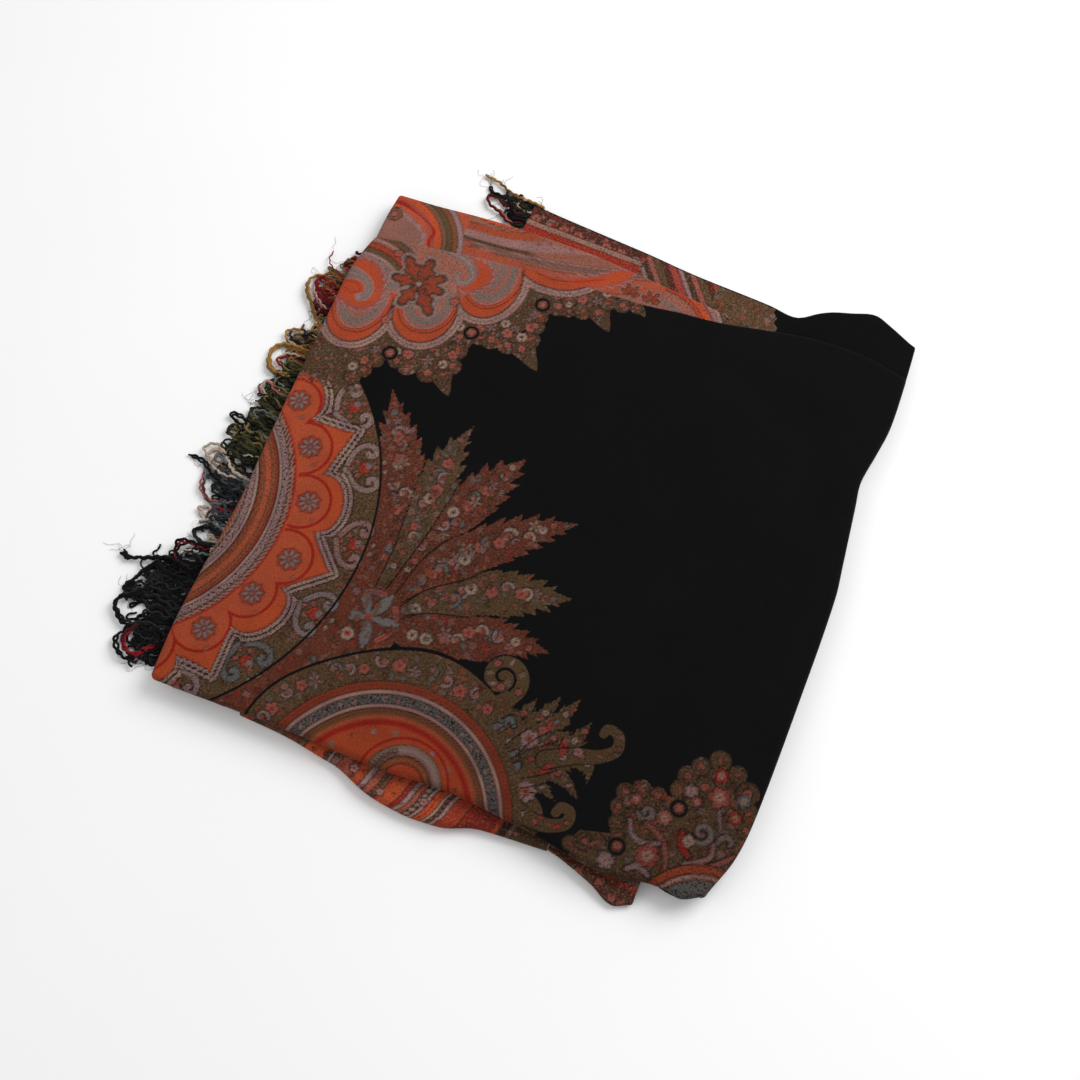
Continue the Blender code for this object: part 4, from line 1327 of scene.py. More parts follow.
ROLL_BANDS = (
    (-156, -142, OLIVE), (-142, -134, DEEP_ORANGE), (-134, -126, DARK_OLIVE),
    (-126, -116, RUST), (-116, -108, OLIVE), (-108, -96, RUST), (-96, -90, OLIVE),
    (-90, -73, ORANGE), (-73, -70, DARK_OLIVE), (-70, -67, LILAC), (-67, -61, MAUVE),
    (-61, -48, PINK), (-48, -39, ORANGE), (-39, -34, LILAC), (-34, -28, PINK),
    (-28, -25.5, DARK_OLIVE), (-25.5, -22, OLIVE), (-22, -9, ORANGE), (-9, -5.5, RED),
    (-5.5, -1, LILAC), (-1, 3, PINK), (3, 8, BROWN), (8, 11, LILAC),
    (11, 18, ORANGE), (18, 20, CREAM), (20, 23, BROWN), (23, 26, LILAC),
    (26, 38, DEEP_ORANGE), (38, 60, mix(RED, DARK_RUST, 0.5)), (60, 64, DEEP_ORANGE),
    (64, 70, BROWN), (70, 74, mix(GREY_MAUVE, BROWN, 0.3)), (74, 100, mix(OLIVE, BROWN, 0.5)),
)


def draw_roll(loom):
    at, x, y = loom.whole()
    loom.figure(at, -5, OLIVE)
    slant = x - 0.5 * (y + 207) + 1.5 * np.sin(y / 5)
    stripes(loom, at, slant, ROLL_BANDS)
    loom.fleck(at, -1, 0.5)
    loom.lay(at, abs(slant - 5.5) - 1.2 - np.sin(y * math.tau / 4.2), PALE)
    for middle, pitch in ((-71.5, 3), (-26.8, 3), (-23.8, 3.6), (21.5, 4), (-112, 4), (-92, 4)):
        loom.lay(at, abs(slant - middle) - 0.3 - 0.6 * np.sin(y * math.tau / pitch), DUSK)
    for middle in (-68.5, -37, -3.5, 9.5, 19, 25):
        loom.pale_line(at, abs(slant - middle) - 0.7)
    for middle in (-20, -81, 14.5, -50, 33, 40, 60):
        loom.red_line(at, abs(slant - middle) - 0.5)
    loom.sprinkle(at, 5, (ROSE, RED, DARK_RUST, BROWN, OLIVE), 221, 0.3, 0.24, net=(slant, y))
    loom.colour[:] = mix(loom.colour, BROWN, 0.15)
    for fx, fy, size in ((1, -222, 2.8), (-55, -218, 3.2), (-31, -227, 2.6)):
        loom.floret(fx, fy, size, 5, HEATHER, RED, turn=fx)


def draw_flap(loom):
    at, x, y = loom.whole()
    loom.figure(at, -5, mix(OLIVE, DARK_RUST, 0.6))
    loom.fleck(at, -5, 0.8)
    loom.sprinkle(at, 6.6, LEAF_DYES, 231)
    stripes(loom, at, y + 212 + 0.13 * (x - 95), (
        (-1, 4, GREY_MAUVE), (-5, -1.5, mix(RED, ORANGE, 0.4)), (-8.5, -5.5, DARK_RUST),
    ))
    for fx, fy in ((148, -234), (136, -228), (120, -226)):
        loom.motif("rose", fx, fy, 3, fx)
    loom.colour[:] = mix(loom.colour, BROWN, 0.3)


STACK_DYES = np.array((RUST, OLIVE, DARK_RUST, DEEP_ORANGE, DARK_OLIVE, MAUVE, RUST, BROWN))


def draw_stack(loom, points):
    at = np.arange(len(points))
    x, y, z = points.T
    plain = np.maximum(x - 100 + 20 * ripple(x, y, 241, 90), -30)
    plain = np.minimum(plain, np.where((y < -190) & (x < 170), x - 165, 99))
    loom.figure(at, plain, DARK_RUST)
    layer = np.floor(z / 1.4)
    pick = cell_noise(layer, np.floor((x + y * 0.7) / 26 + layer * 0.37), 243)
    loom.colour[at] = STACK_DYES[(pick * 7.99).astype(int)]
    net = (x - y) * 0.8, z * 4.0 + layer * 3.1
    loom.sprinkle(at, 6, (ROSE, CREAM, RED, BROWN), 245, 0.5, net=net)


# ---------------- making pieces

def set_out(name, data):
    """Puts a mesh, a lamp or the camera into the scene."""
    thing = bpy.data.objects.new(name, data)
    bpy.context.scene.collection.objects.link(thing)
    return thing


def add_piece(mesh, material, slot, node):
    mesh.materials.append(material)
    mesh.shade_smooth()
    piece = set_out(mesh.name, mesh)
    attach(piece, "root")
    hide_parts(node)
    return piece


def mesh_of(name, points, faces):
    mesh = bpy.data.meshes.new(name)
    mesh.from_pydata([tuple(p) for p in points * MM], [], faces)
    mesh.update()
    return mesh


def ring_faces(rings):
    """The quads between rows of points, and a face that closes each end."""
    low, high = rings[:-1], rings[1:]
    quads = np.stack([low, high, np.roll(high, -1, 1), np.roll(low, -1, 1)], axis=-1)
    return [tuple(quad) for quad in quads.reshape(-1, 4)] + [tuple(rings[0]), tuple(rings[-1][::-1])]


def keep_on_points(mesh, name, values):
    """Keeps a colour or a vector for each of the mesh's points, for its material to read."""
    kind, field = ("FLOAT_COLOR", "color") if values.shape[1] == 4 else ("FLOAT_VECTOR", "vector")
    layer = mesh.attributes.new(name, kind, "POINT")
    layer.data.foreach_set(field, np.ascontiguousarray(values, np.float32).ravel())


def keep_pattern(mesh, loom, cloth):
    keep_on_points(mesh, "design", np.column_stack([loom.colour, loom.speckle]))
    lines = np.column_stack([loom.bare, loom.pale, loom.red])
    keep_on_points(mesh, "edges", np.clip(lines, -12, 12))
    keep_on_points(mesh, "cloth", np.column_stack([cloth * MM, np.zeros(len(cloth))]))


FINE_CUTS = 3  # a patterned cell is cut into this many more each way
PATTERNED_REACH = 4.0


def weave_stretch(stretch, draw, material, node):
    """One stretch of cloth: coarse where it is plain black, fine under its pattern."""
    low_x, high_x, low_y, high_y = (edge(0.0) for edge in stretch.edges)
    radii, pitch, curl = stretch.radii, stretch.pitch, stretch.curl_steps
    steps_x = steps_across(low_x, high_x, radii.left, radii.right, pitch, curl)
    steps_y = steps_across(low_y, high_y, radii.front, radii.back, pitch, curl)
    bm = bmesh.new()
    bmesh.ops.create_grid(bm, x_segments=steps_x.count, y_segments=steps_y.count, size=0.5)
    bmesh.ops.translate(bm, verts=bm.verts, vec=(0.5, 0.5, 0))
    bmesh.ops.scale(bm, verts=bm.verts, vec=(steps_x.count, steps_y.count, 1))

    def weave(places):
        points, cloth = lay_cloth(stretch, steps_x, steps_y, places[:, 0], places[:, 1])
        loom = Loom(cloth)
        draw(loom)
        return points, cloth, loom

    _, _, loom = weave(np.array([vertex.co[:] for vertex in bm.verts]))
    bm.verts.index_update()
    patterned = [
        face for face in bm.faces
        if min(loom.bare[vertex.index] for vertex in face.verts) < PATTERNED_REACH
    ]
    edges = list({edge for face in patterned for edge in face.edges})
    bmesh.ops.subdivide_edges(bm, edges=edges, cuts=FINE_CUTS, use_grid_fill=True)
    mesh = bpy.data.meshes.new(stretch.name)
    bm.to_mesh(mesh)
    bm.free()
    places = np.empty(len(mesh.vertices) * 3, np.float32)
    mesh.vertices.foreach_get("co", places)
    points, cloth, loom = weave(places.reshape(-1, 3).astype(float))
    mesh.vertices.foreach_set("co", (points * MM).astype(np.float32).ravel())
    mesh.update()
    keep_pattern(mesh, loom, cloth)
    return add_piece(mesh, material, node, node)


# ---------------- finishes

class Socket:
    """A node's value that takes part in Python sums, each of them a Math node."""

    def __init__(self, finish, link):
        self.finish, self.link = finish, link

    def _sum(self, operation, *values):
        node = self.finish.node("ShaderNodeMath", {"operation": operation}, dict(enumerate(values)))
        return self.finish.out(node, "Value")

    def __add__(self, other):
        return self._sum("ADD", self, other)

    def __sub__(self, other):
        return self._sum("SUBTRACT", self, other)

    def __rsub__(self, other):
        return self._sum("SUBTRACT", other, self)

    def __mul__(self, other):
        return self._sum("MULTIPLY", self, other)

    __radd__, __rmul__ = __add__, __mul__

    def __pow__(self, other):
        return self._sum("POWER", self, other)

    def sine(self):
        return self._sum("SINE", self)

    def step(self, low, high):
        """0 below low, 1 above high, and an even slope between them."""
        values = {"Value": self, "From Min": low, "From Max": high}
        return self.finish.out(self.finish.node("ShaderNodeMapRange", {"clamp": True}, values), "Result")


def set_steps(ramp, stops):
    """Makes a colour ramp step from one dye to the next."""
    ramp.interpolation = "CONSTANT"
    while len(ramp.elements) < len(stops):
        ramp.elements.new(0.5)
    for element, (place, colour) in zip(ramp.elements, stops):
        element.position, element.color = place, (*colour, 1)


class Finish:
    """A material and the nodes that are added to it."""

    def __init__(self, name, roughness, specular, sheen=0.0, sheen_tint=(1, 1, 1)):
        self.material = bpy.data.materials.new(name)
        self.material.use_nodes = True
        self.tree = self.material.node_tree
        self.shader = self.tree.nodes["Principled BSDF"]
        self.feed("Roughness", roughness)
        self.feed("Specular IOR Level", specular)
        self.feed("Sheen Weight", sheen)
        self.feed("Sheen Roughness", 0.45)
        self.feed("Sheen Tint", sheen_tint)

    def node(self, kind, settings, values):
        made = self.tree.nodes.new(kind)
        for name, setting in settings.items():
            if name == "stops":
                set_steps(made.color_ramp, setting)
            else:
                setattr(made, name, setting)
        for name, value in values.items():
            self.join(made.inputs[name], value)
        return made

    def join(self, socket, value):
        if isinstance(value, Socket):
            self.tree.links.new(value.link, socket)
        elif hasattr(value, "__len__") and len(value) == 3 and socket.type == "RGBA":
            socket.default_value = (*value, 1)
        else:
            socket.default_value = value

    def out(self, node, name):
        return Socket(self, node.outputs[name])

    def feed(self, name, value):
        self.join(self.shader.inputs[name], value)

    def attribute(self, name, output):
        return self.out(self.node("ShaderNodeAttribute", {"attribute_name": name}, {}), output)

    def parts(self, vector):
        node = self.node("ShaderNodeSeparateXYZ", {}, {"Vector": vector})
        return [self.out(node, axis) for axis in "XYZ"]

    def vector(self, x, y, z=0.0):
        return self.out(self.node("ShaderNodeCombineXYZ", {}, {"X": x, "Y": y, "Z": z}), "Vector")

    def noise(self, place, scale, detail=2.0, roughness=0.5):
        values = {"Vector": place, "Scale": scale, "Detail": detail, "Roughness": roughness}
        return self.out(self.node("ShaderNodeTexNoise", {}, values), "Fac")

    def blend(self, share, first, second):
        values = {0: share, 6: first, 7: second}
        return self.out(self.node("ShaderNodeMix", {"data_type": "RGBA"}, values), 2)

    def shade(self, colour, amount):
        """A colour made lighter or darker: amount is 1 where it stays."""
        values = {0: colour, "Scale": amount}
        return self.out(self.node("ShaderNodeVectorMath", {"operation": "SCALE"}, values), "Vector")

    def bump(self, height, strength, distance):
        values = {"Height": height, "Strength": strength, "Distance": distance}
        self.feed("Normal", self.out(self.node("ShaderNodeBump", {}, values), "Normal"))


# One wale of the twill, as it shows from a step away, and one turn of the yarn's plies.
TWILL_PITCH, PLY_PITCH = 0.0011, 0.0012


def twill_cloth(name, deepening=0.0):
    """Fine wool twill with the pattern woven in: crisp yarn-wide steps at its edges.

    deepening is how much darker the pattern's colours are made from the back left to the front right.
    """
    finish = Finish(name, roughness=0.9, specular=0.04, sheen=0.04, sheen_tint=(0.75, 0.72, 0.72))
    cloth = finish.attribute("cloth", "Vector")
    x, y, _ = finish.parts(cloth)
    dyed = finish.attribute("design", "Color")
    bare, pale, red = finish.parts(finish.attribute("edges", "Vector"))
    # Yarns end a little early or late along every edge of the pattern.
    jag = (finish.noise(cloth, 1500, 1.0) - 0.5) * 0.9
    on_figure = (bare + jag).step(0.35, -0.35)
    on_pale = (pale + jag).step(0.4, -0.3)
    on_red = (red + jag).step(0.35, -0.35)
    tone = finish.noise(cloth, 45, 3.0)
    pale_dye = finish.blend(tone.step(0.42, 0.62), LILAC, CREAM)
    coloured = finish.blend(on_red, dyed, RED)
    coloured = finish.blend(on_pale, coloured, pale_dye)
    # Flecks of dark and of rose stand between the motifs, more in some places.
    flecked = finish.attribute("design", "Alpha")
    dark_fleck = finish.noise(cloth, 620, 2.0, 0.65).step(0.47, 0.39) * flecked
    rose_fleck = finish.noise(finish.vector(y, x), 560, 2.0, 0.65).step(0.56, 0.62) * flecked
    coloured = finish.blend(dark_fleck * 0.95, coloured, BROWN)
    coloured = finish.blend(rose_fleck * 0.8, coloured, MAUVE)
    speck = finish.noise(cloth, 1000, 2.0, 0.7)
    grain = (speck.step(0.3, 0.68) * 0.6 + 0.66) * (tone * 0.5 + 0.78)
    depth = (x - y).step(-0.33, 0.36) ** 0.7
    coloured = finish.shade(coloured, grain * (1 - depth * deepening))
    wale = ((x + y) * (math.tau / TWILL_PITCH)).sine()
    worn = finish.noise(cloth, 14, 3.0) * 0.5 + finish.noise(cloth, 260, 2.0) * 0.5
    ground = finish.shade(BLACK, worn * 0.9 + wale * 0.06 + 0.55)
    finish.feed("Base Color", finish.blend(on_figure, ground, coloured))
    finish.feed("Roughness", worn * 0.1 + 0.82)
    weave = wale * 0.35 + finish.noise(cloth, 1600, 1.0) * 0.5 + on_figure * 0.5
    slub = finish.noise(finish.vector(x * 0.25, y), 420, 2.0)
    finish.bump(weave + slub * 0.5, 0.4, 0.00025)
    return finish.material


YARN_DYES = {
    "black": dye(15, 15, 17), "charcoal": dye(38, 37, 40), "teal": dye(34, 42, 44),
    "slate": dye(66, 72, 78), "blue_grey": dye(104, 110, 114), "cream": dye(190, 170, 152),
    "rose": dye(164, 96, 90), "plum": dye(86, 46, 54), "crimson": dye(138, 28, 34),
    "dark_red": dye(80, 22, 24), "gold": dye(170, 126, 66), "gold_brown": dye(126, 90, 48),
    "khaki": dye(122, 106, 66), "moss": dye(66, 64, 36), "dark_moss": dye(36, 38, 24),
}


def wool_yarn(name):
    """Plied wool yarn with a soft nap, each yarn in its own dye."""
    finish = Finish(name, roughness=0.9, specular=0.08, sheen=0.1, sheen_tint=(0.8, 0.78, 0.76))
    along, around, pick = finish.parts(finish.attribute("cloth", "Vector"))
    stops = [(k / len(YARN_DYES), each) for k, each in enumerate(YARN_DYES.values())]
    ramp = finish.node("ShaderNodeValToRGB", {"stops": stops}, {"Fac": pick})
    nap = finish.noise(finish.vector(along * 0.3, around * 3.0, pick * 40.0), 900, 3.0, 0.6)
    patch = finish.noise(finish.vector(along, pick * 9.0), 90, 2.0)
    tone = (nap.step(0.25, 0.75) * 0.6 + 0.6) * (patch * 0.6 + 0.7)
    finish.feed("Base Color", finish.shade(finish.out(ramp, "Color"), tone))
    ply = ((along * (math.tau / PLY_PITCH)) + around * math.tau).sine()
    finish.bump(nap * 0.7 + ply * 0.3, 0.5, 0.0003)
    return finish.material


# ---------------- the folded layers

# The stack's bundles of folds, from the table up: their insets under the folds
# above them, their heights, and how many layers show in each.
LEFT_IN, OTHER_IN, UPPER_IN = 4.8, 1.6, 6.2
BEHIND_ROLL = -204.4
Bundle = namedtuple("Bundle", "edges low high layers")


def stack_front(inset):
    line = front_of(PANEL_FRONT, inset)

    def edge(x):
        behind = smooth(-158, -151, x) * smooth(170, 164, x)
        return mix(line(x), BEHIND_ROLL, behind)

    return edge


def low_back(x):
    return mix(back_of(SECOND_BACK, 5.0)(x), back_of(THIRD_BACK, 4.6)(x), smooth(-116, -110, x))


def stepped_back(raised_from, raised_to):
    """Under the second stretch, then clear of the third, then under its raised end."""

    def edge(x):
        beside_third = mix(back_of(SECOND_BACK, 5.5)(x), third_front(x) - 2.0, smooth(-135, -116, x))
        return mix(beside_third, back_of(THIRD_BACK, 4.6)(x), smooth(raised_from, raised_to, x))

    return edge


LOWER_SIDES = (left_of(PANEL_LEFT, LEFT_IN), right_of(PANEL_RIGHT, OTHER_IN))
UPPER_SIDES = (left_of(PANEL_LEFT, UPPER_IN), right_of(PANEL_RIGHT, UPPER_IN))
BUNDLES = (
    Bundle(Sides(*LOWER_SIDES, stack_front(OTHER_IN), low_back), 0.0, 4.2, 3),
    Bundle(Sides(*LOWER_SIDES, stack_front(OTHER_IN), stepped_back(136, 146)), 4.2, 8.4, 3),
    Bundle(Sides(*UPPER_SIDES, stack_front(UPPER_IN), stepped_back(152, 160)), 8.4, 12.8, 3),
    Bundle(Sides(*UPPER_SIDES, front_of(PANEL_FRONT, UPPER_IN), back_of(PANEL_BACK, UPPER_IN)),
           12.8, 17.6, 3),
)
SIDE_STATIONS = 92
FLAT = 190  # the layers slip outward from a square of this half side
LAYER_ROUND = ((1.0, 0.0), (0.35, 0.17), (0.0, 0.5), (0.35, 0.83), (1.0, 1.0))


def turn_round(edges, inset):
    """One turn round a bundle, at the same stations at every height."""
    share = np.linspace(0, 1, SIDE_STATIONS, endpoint=False)
    zero, one = 0 * share, 0 * share + 1
    across = np.concatenate([zero, share, one, 1 - share])
    along = np.concatenate([share, one, 1 - share, zero])
    x, y = plan_point(edges, Sides(inset, inset, inset, inset), across, along)
    for _ in range(3):  # the folds turn the corners softly
        x = (np.roll(x, 1) + 2 * x + np.roll(x, -1)) / 4
        y = (np.roll(y, 1) + 2 * y + np.roll(y, -1)) / 4
    return x, y


def fold_stack(draw, material):
    """The many folds between the stretches that show, each with its own slip."""
    turns, cloth, run = [], [], 0.0
    for b, bundle in enumerate(BUNDLES):
        layer = (bundle.high - bundle.low) / bundle.layers
        for k in range(bundle.layers):
            for inset, rise in LAYER_ROUND:
                x, y = turn_round(bundle.edges, 0.3 + inset)
                seed = 20 + b * 5 + k
                slip = 0.45 * ripple(x, y, seed, 60) + 0.2 * ripple(x, y, seed + 50, 17) - 0.5
                out_x, out_y = (place - np.clip(place, -FLAT, FLAT) for place in (x, y))
                away = np.hypot(out_x, out_y) + 1e-6
                x, y = x + slip * out_x / away, y + slip * out_y / away
                z = bundle.low + layer * (k + 0.04 + 0.92 * rise) + 0 * x
                if b == 0 and k == 0 and rise == 0:
                    z = 0 * x
                turns.append(np.stack([x, y, z], axis=1))
                run += 0.8
                cloth.append(np.stack([x + run * 1.3, y + run], axis=1))
    count = len(turns[0])
    points = np.concatenate(turns)
    rings = np.arange(len(turns) * count).reshape(len(turns), count)
    mesh = mesh_of("folded_layers", points, ring_faces(rings))
    cloth = np.concatenate(cloth)
    loom = Loom(cloth)
    draw(loom, points)
    keep_pattern(mesh, loom, cloth)
    return add_piece(mesh, material, "hidden_layers", "hidden_layers")


# ---------------- fringe

# A run of fringe: its strip's face and ends along Y, its locks, how far its tips
# reach as (Y, X), how high its strip lies, and its highest yarns and their dyes.
Run = namedtuple("Run", "node slot face start end locks tips lift seed height dyes")
PLY_SIDES = 5
PLY_STEP = 0.9
PLY_TWIST = 5.2  # length of one turn of the two plies round each other
YARN_TAPER = 0.75  # how wide a yarn still is at its end
FRAY_SIDES, FRAY_STEP = 3, 1.3
STRIP_FACE = left_of(PANEL_LEFT, 1.4)
BACK_STRIP_FACE = straight(-121.2)
FRINGE_RUNS = (
    Run("fringe_black", "black_yarn", STRIP_FACE, -200, -106, 112,
        ((-203, -249), (-183, -263), (-160, -277), (-133, -282), (-117, -264), (-106, -246)),
        0, 101, 8,
        "black black black charcoal black charcoal black black charcoal black charcoal black"),
    Run("fringe_blue", "blue_yarn", STRIP_FACE, -104, -40, 62,
        ((-102, -238), (-82, -247), (-67, -250), (-50, -268), (-34, -274)), 0, 102, 6,
        "teal charcoal teal black blue_grey charcoal plum slate cream"),
    Run("fringe_green", "green_yarn", STRIP_FACE, -38, 72, 112,
        ((-24, -268), (5, -264), (16, -260), (37, -258), (51, -256), (70, -250)),
        0, 103, 7, "moss dark_moss moss moss dark_moss moss khaki black"),
    Run("fringe_gold", "gold_yarn", STRIP_FACE, 74, 114, 40,
        ((74, -258), (88, -262), (98, -250), (110, -242)), 0, 104, 6,
        "gold gold_brown black gold_brown khaki charcoal cream gold_brown"),
    Run("fringe_red", "red_yarn", STRIP_FACE, 116, 179, 62,
        ((115, -250), (133, -258), (150, -259), (164, -252), (178, -244)), 0, 105, 6.5,
        "crimson dark_red crimson gold_brown dark_red khaki crimson rose"),
    Run("fringe_back", "black_yarn", BACK_STRIP_FACE, 256, 277, 20,
        ((258, -136), (268, -144), (284, -148)), 1.6, 106, 6,
        "black dark_moss black dark_moss dark_red"),
)

# Strands that stand out of the tangle, each as the yarns that lie together in
# it, their half width, and its way on the plan.
STRANDS = {
    "fringe_black": (
        ("crimson dark_red crimson", 0.85, ((-226, -174), (-236, -190), (-243, -198), (-252, -198),
         (-257, -191), (-255, -181), (-247, -172))),
        ("black black charcoal", 1, ((-240, -150), (-258, -148), (-267, -156), (-275, -162),
         (-277, -169), (-272, -174), (-264, -179), (-253, -177), (-242, -173))),
        ("black black black charcoal", 1, ((-226, -124), (-243, -122), (-254, -120), (-265, -123),
         (-278, -129), (-286, -131), (-292, -128))),
        ("black black black", 1, ((-234, -132), (-254, -132), (-262, -128), (-266, -135),
         (-271, -146), (-275, -154), (-270, -158))),
        ("black crimson black", 0.9, ((-224, -102), (-239, -103), (-255, -109), (-254, -117),
         (-245, -120), (-228, -116))),
        ("blue_grey cream", 0.8, ((-226, -107), (-240, -109), (-249, -113), (-247, -117),
         (-237, -115))),
        ("black black", 1, ((-226, -190), (-238, -194), (-248, -204), (-256, -200), (-262, -190),
         (-258, -184))),
    ),
    "fringe_blue": (
        ("cream cream", 1.05, ((-227, -40), (-245, -36), (-257, -27), (-266, -23), (-271, -30),
         (-263, -37), (-253, -41), (-236, -40))),
        ("gold_brown blue_grey", 0.8, ((-236, -36), (-250, -32), (-260, -28), (-263, -33),
         (-254, -37), (-240, -38))),
        ("black black", 0.95, ((-226, -51), (-246, -51), (-261, -46), (-269, -39), (-276, -38),
         (-284, -37))),
        ("plum rose blue_grey", 0.85, ((-230, -58), (-250, -66), (-259, -59), (-262, -50),
         (-267, -41))),
        ("crimson", 0.8, ((-226, -61), (-233, -66), (-241, -67), (-251, -70))),
        ("cream cream", 0.9, ((-224, -80), (-238, -72), (-246, -70), (-253, -74), (-247, -80))),
        ("cream blue_grey", 0.75, ((-222, -86), (-232, -84), (-241, -82), (-250, -85))),
        ("teal teal black teal", 1, ((-224, -90), (-243, -88), (-248, -94), (-241, -99),
         (-225, -98))),
    ),
    "fringe_green": (
        ("black dark_moss", 0.85, ((-232, 4), (-255, 7), (-263, 10), (-268, 8), (-261, 4), (-246, 2))),
        ("black cream rose", 0.8, ((-226, 38), (-245, 41), (-254, 45), (-257, 38), (-245, 32))),
        ("cream", 0.7, ((-224, -20), (-232, -21), (-240, -21), (-246, -24))),
        ("blue_grey khaki", 0.8, ((-226, 14), (-238, 18), (-248, 20), (-252, 15), (-243, 12))),
        ("dark_moss moss dark_moss", 0.9, ((-226, -6), (-244, -4), (-256, -10), (-264, -8),
         (-260, -2), (-252, -4))),
        ("dark_red black", 0.8, ((-224, 24), (-240, 26), (-252, 30), (-256, 26))),
    ),
    "fringe_gold": (
        ("gold gold gold_brown", 0.95, ((-228, 80), (-249, 82), (-259, 80), (-264, 73), (-262, 64),
         (-255, 57), (-246, 57), (-228, 55))),
        ("cream crimson black", 0.8, ((-226, 74), (-240, 74), (-252, 72), (-255, 66), (-246, 62),
         (-228, 62))),
        ("black gold cream", 0.85, ((-228, 99), (-244, 96), (-251, 97), (-258, 92), (-254, 86),
         (-240, 83))),
        ("blue_grey", 0.75, ((-224, 46), (-238, 46), (-250, 52), (-256, 58))),
        ("blue_grey cream", 0.75, ((-224, 106), (-234, 105), (-241, 102))),
    ),
    "fringe_red": (
        ("gold gold_brown", 0.95, ((-224, 105), (-245, 114), (-253, 124), (-260, 132), (-264, 143),
         (-259, 151), (-249, 149))),
        ("crimson crimson dark_red", 0.9, ((-224, 117), (-236, 124), (-246, 134), (-257, 141),
         (-257, 150), (-246, 149))),
        ("rose cream", 0.8, ((-226, 118), (-246, 127), (-257, 137), (-259, 146))),
        ("khaki cream", 0.75, ((-226, 130), (-240, 140), (-250, 144))),
        ("crimson", 0.6, ((-226, 151), (-244, 158), (-253, 164), (-256, 171), (-257, 179))),
        ("crimson dark_red crimson", 0.85, ((-224, 158), (-236, 162), (-243, 170), (-238, 176),
         (-228, 174))),
    ),
    "fringe_back": (
        ("gold gold_brown", 0.9, ((-116, 281), (-132, 285), (-144, 287), (-156, 293), (-170, 296))),
        ("dark_moss black black", 0.95, ((-114, 279), (-130, 283), (-139, 282), (-149, 280),
         (-159, 282), (-162, 287))),
        ("dark_red rose", 0.9, ((-118, 265), (-133, 260), (-143, 265), (-155, 270), (-158, 277),
         (-149, 279), (-141, 274))),
        ("black black", 0.9, ((-118, 262), (-130, 265), (-137, 273), (-142, 280), (-145, 286))),
        ("cream cream", 0.85, ((-114, 276), (-125, 275), (-131, 278), (-129, 283), (-120, 283))),
        ("dark_moss black dark_moss", 0.95, ((-112, 268), (-120, 272), (-124, 279), (-117, 281))),
    ),
}


def heading_along(points):
    heading = np.gradient(points, axis=0)
    return heading / (np.linalg.norm(heading, axis=1)[:, None] + 1e-9)


def even_run(points, step):
    """The smooth curve through a strand's places, walked in even steps."""
    curve = np.array(curve_through(points, 160))
    gone = gone_along(curve)
    at = np.linspace(0, gone[-1], max(8, int(gone[-1] / step)))
    return np.stack([np.interp(at, gone, curve[:, k]) for k in (0, 1)], axis=1)


def strand_path(run, way, rng):
    """One yarn of a strand, beside the others and with a crimp of its own."""
    jitter = rng.normal(0, 0.7, (len(way), 2)) + rng.normal(0, 0.9, 2)
    jitter[0] += (3.0, 0.0)
    plan = even_run(way + jitter, PLY_STEP)
    t = np.linspace(0, 1, len(plan))
    heading = heading_along(plan)
    crimp = 0.5 * np.sin(len(plan) * PLY_STEP / 6.5 * math.tau * t + rng.uniform(0, 6))
    plan = plan + np.stack([-heading[:, 1], heading[:, 0]], 1) * (crimp * smooth(0, 0.2, t))[:, None]
    top = rng.uniform(0.6, 0.95) * (run.height - 2.0)
    z = mix(2.4 + run.lift, top, smooth(0, 0.35, t)) * mix(1.0, 0.6, smooth(0.75, 1, t))
    z = z + 0.8 * np.sin(math.tau * 1.3 * t + rng.uniform(0, 6))
    return np.column_stack([plan, np.maximum(z, 1.0)])


def tangle_path(run, share, rng):
    """One curly yarn of the tangle, from under the fold to its hooked tip."""
    root_y = mix(run.start, run.end, share)
    tip_along, tip_out = zip(*run.tips)
    tip_y = mix(tip_along[0], tip_along[-1], share) + rng.normal(0, 3.0)
    reach = np.interp(tip_y, tip_along, tip_out)
    face = float(run.face(root_y))
    reach = mix(face, reach, rng.uniform(0.45, 0.97))
    root = np.array([face + 2.0, root_y, 1.4 + rng.uniform(0.2, 2.6) + run.lift])
    length = math.dist(root[:2], (reach, tip_y)) * 1.15
    steps = max(16, int(length * 1.3 / PLY_STEP))
    t = np.linspace(0, 1, steps)
    heading = math.atan2(tip_y - root_y, reach - root[0])
    # The yarn wanders, and its end hooks back on itself.
    hook = rng.choice((-1, 1)) * rng.uniform(1.8, 5.2)
    wave, phase = rng.uniform(0.35, 0.8), rng.uniform(0, math.tau)
    waves = length / rng.uniform(10, 17)
    bend = wave * np.sin(math.tau * waves * t + phase) * smooth(0, 0.2, t)
    bend += 0.22 * np.sin(math.tau * waves * 2.7 * t + phase * 3)
    turned = heading + bend + hook * smooth(rng.uniform(0.5, 0.78), 1.0, t)
    stride = length / steps * 1.15
    x = root[0] + np.cumsum(np.cos(turned)) * stride
    y = root[1] + np.cumsum(np.sin(turned)) * stride
    rest = rng.uniform(0.3, run.height * 0.5)
    z = mix(root[2], 0.9 + rest, smooth(0.0, 0.5, t))
    z += 0.7 * np.sin(math.tau * waves * 0.8 * t + phase * 2) * smooth(0.1, 0.3, t)
    z = np.maximum(mix(z, 0.8 + 0.5 * rest, smooth(0.85, 1, t)), 0.8)
    x = np.minimum(x, face + 2.0)
    return np.stack([x, y, z], axis=1)


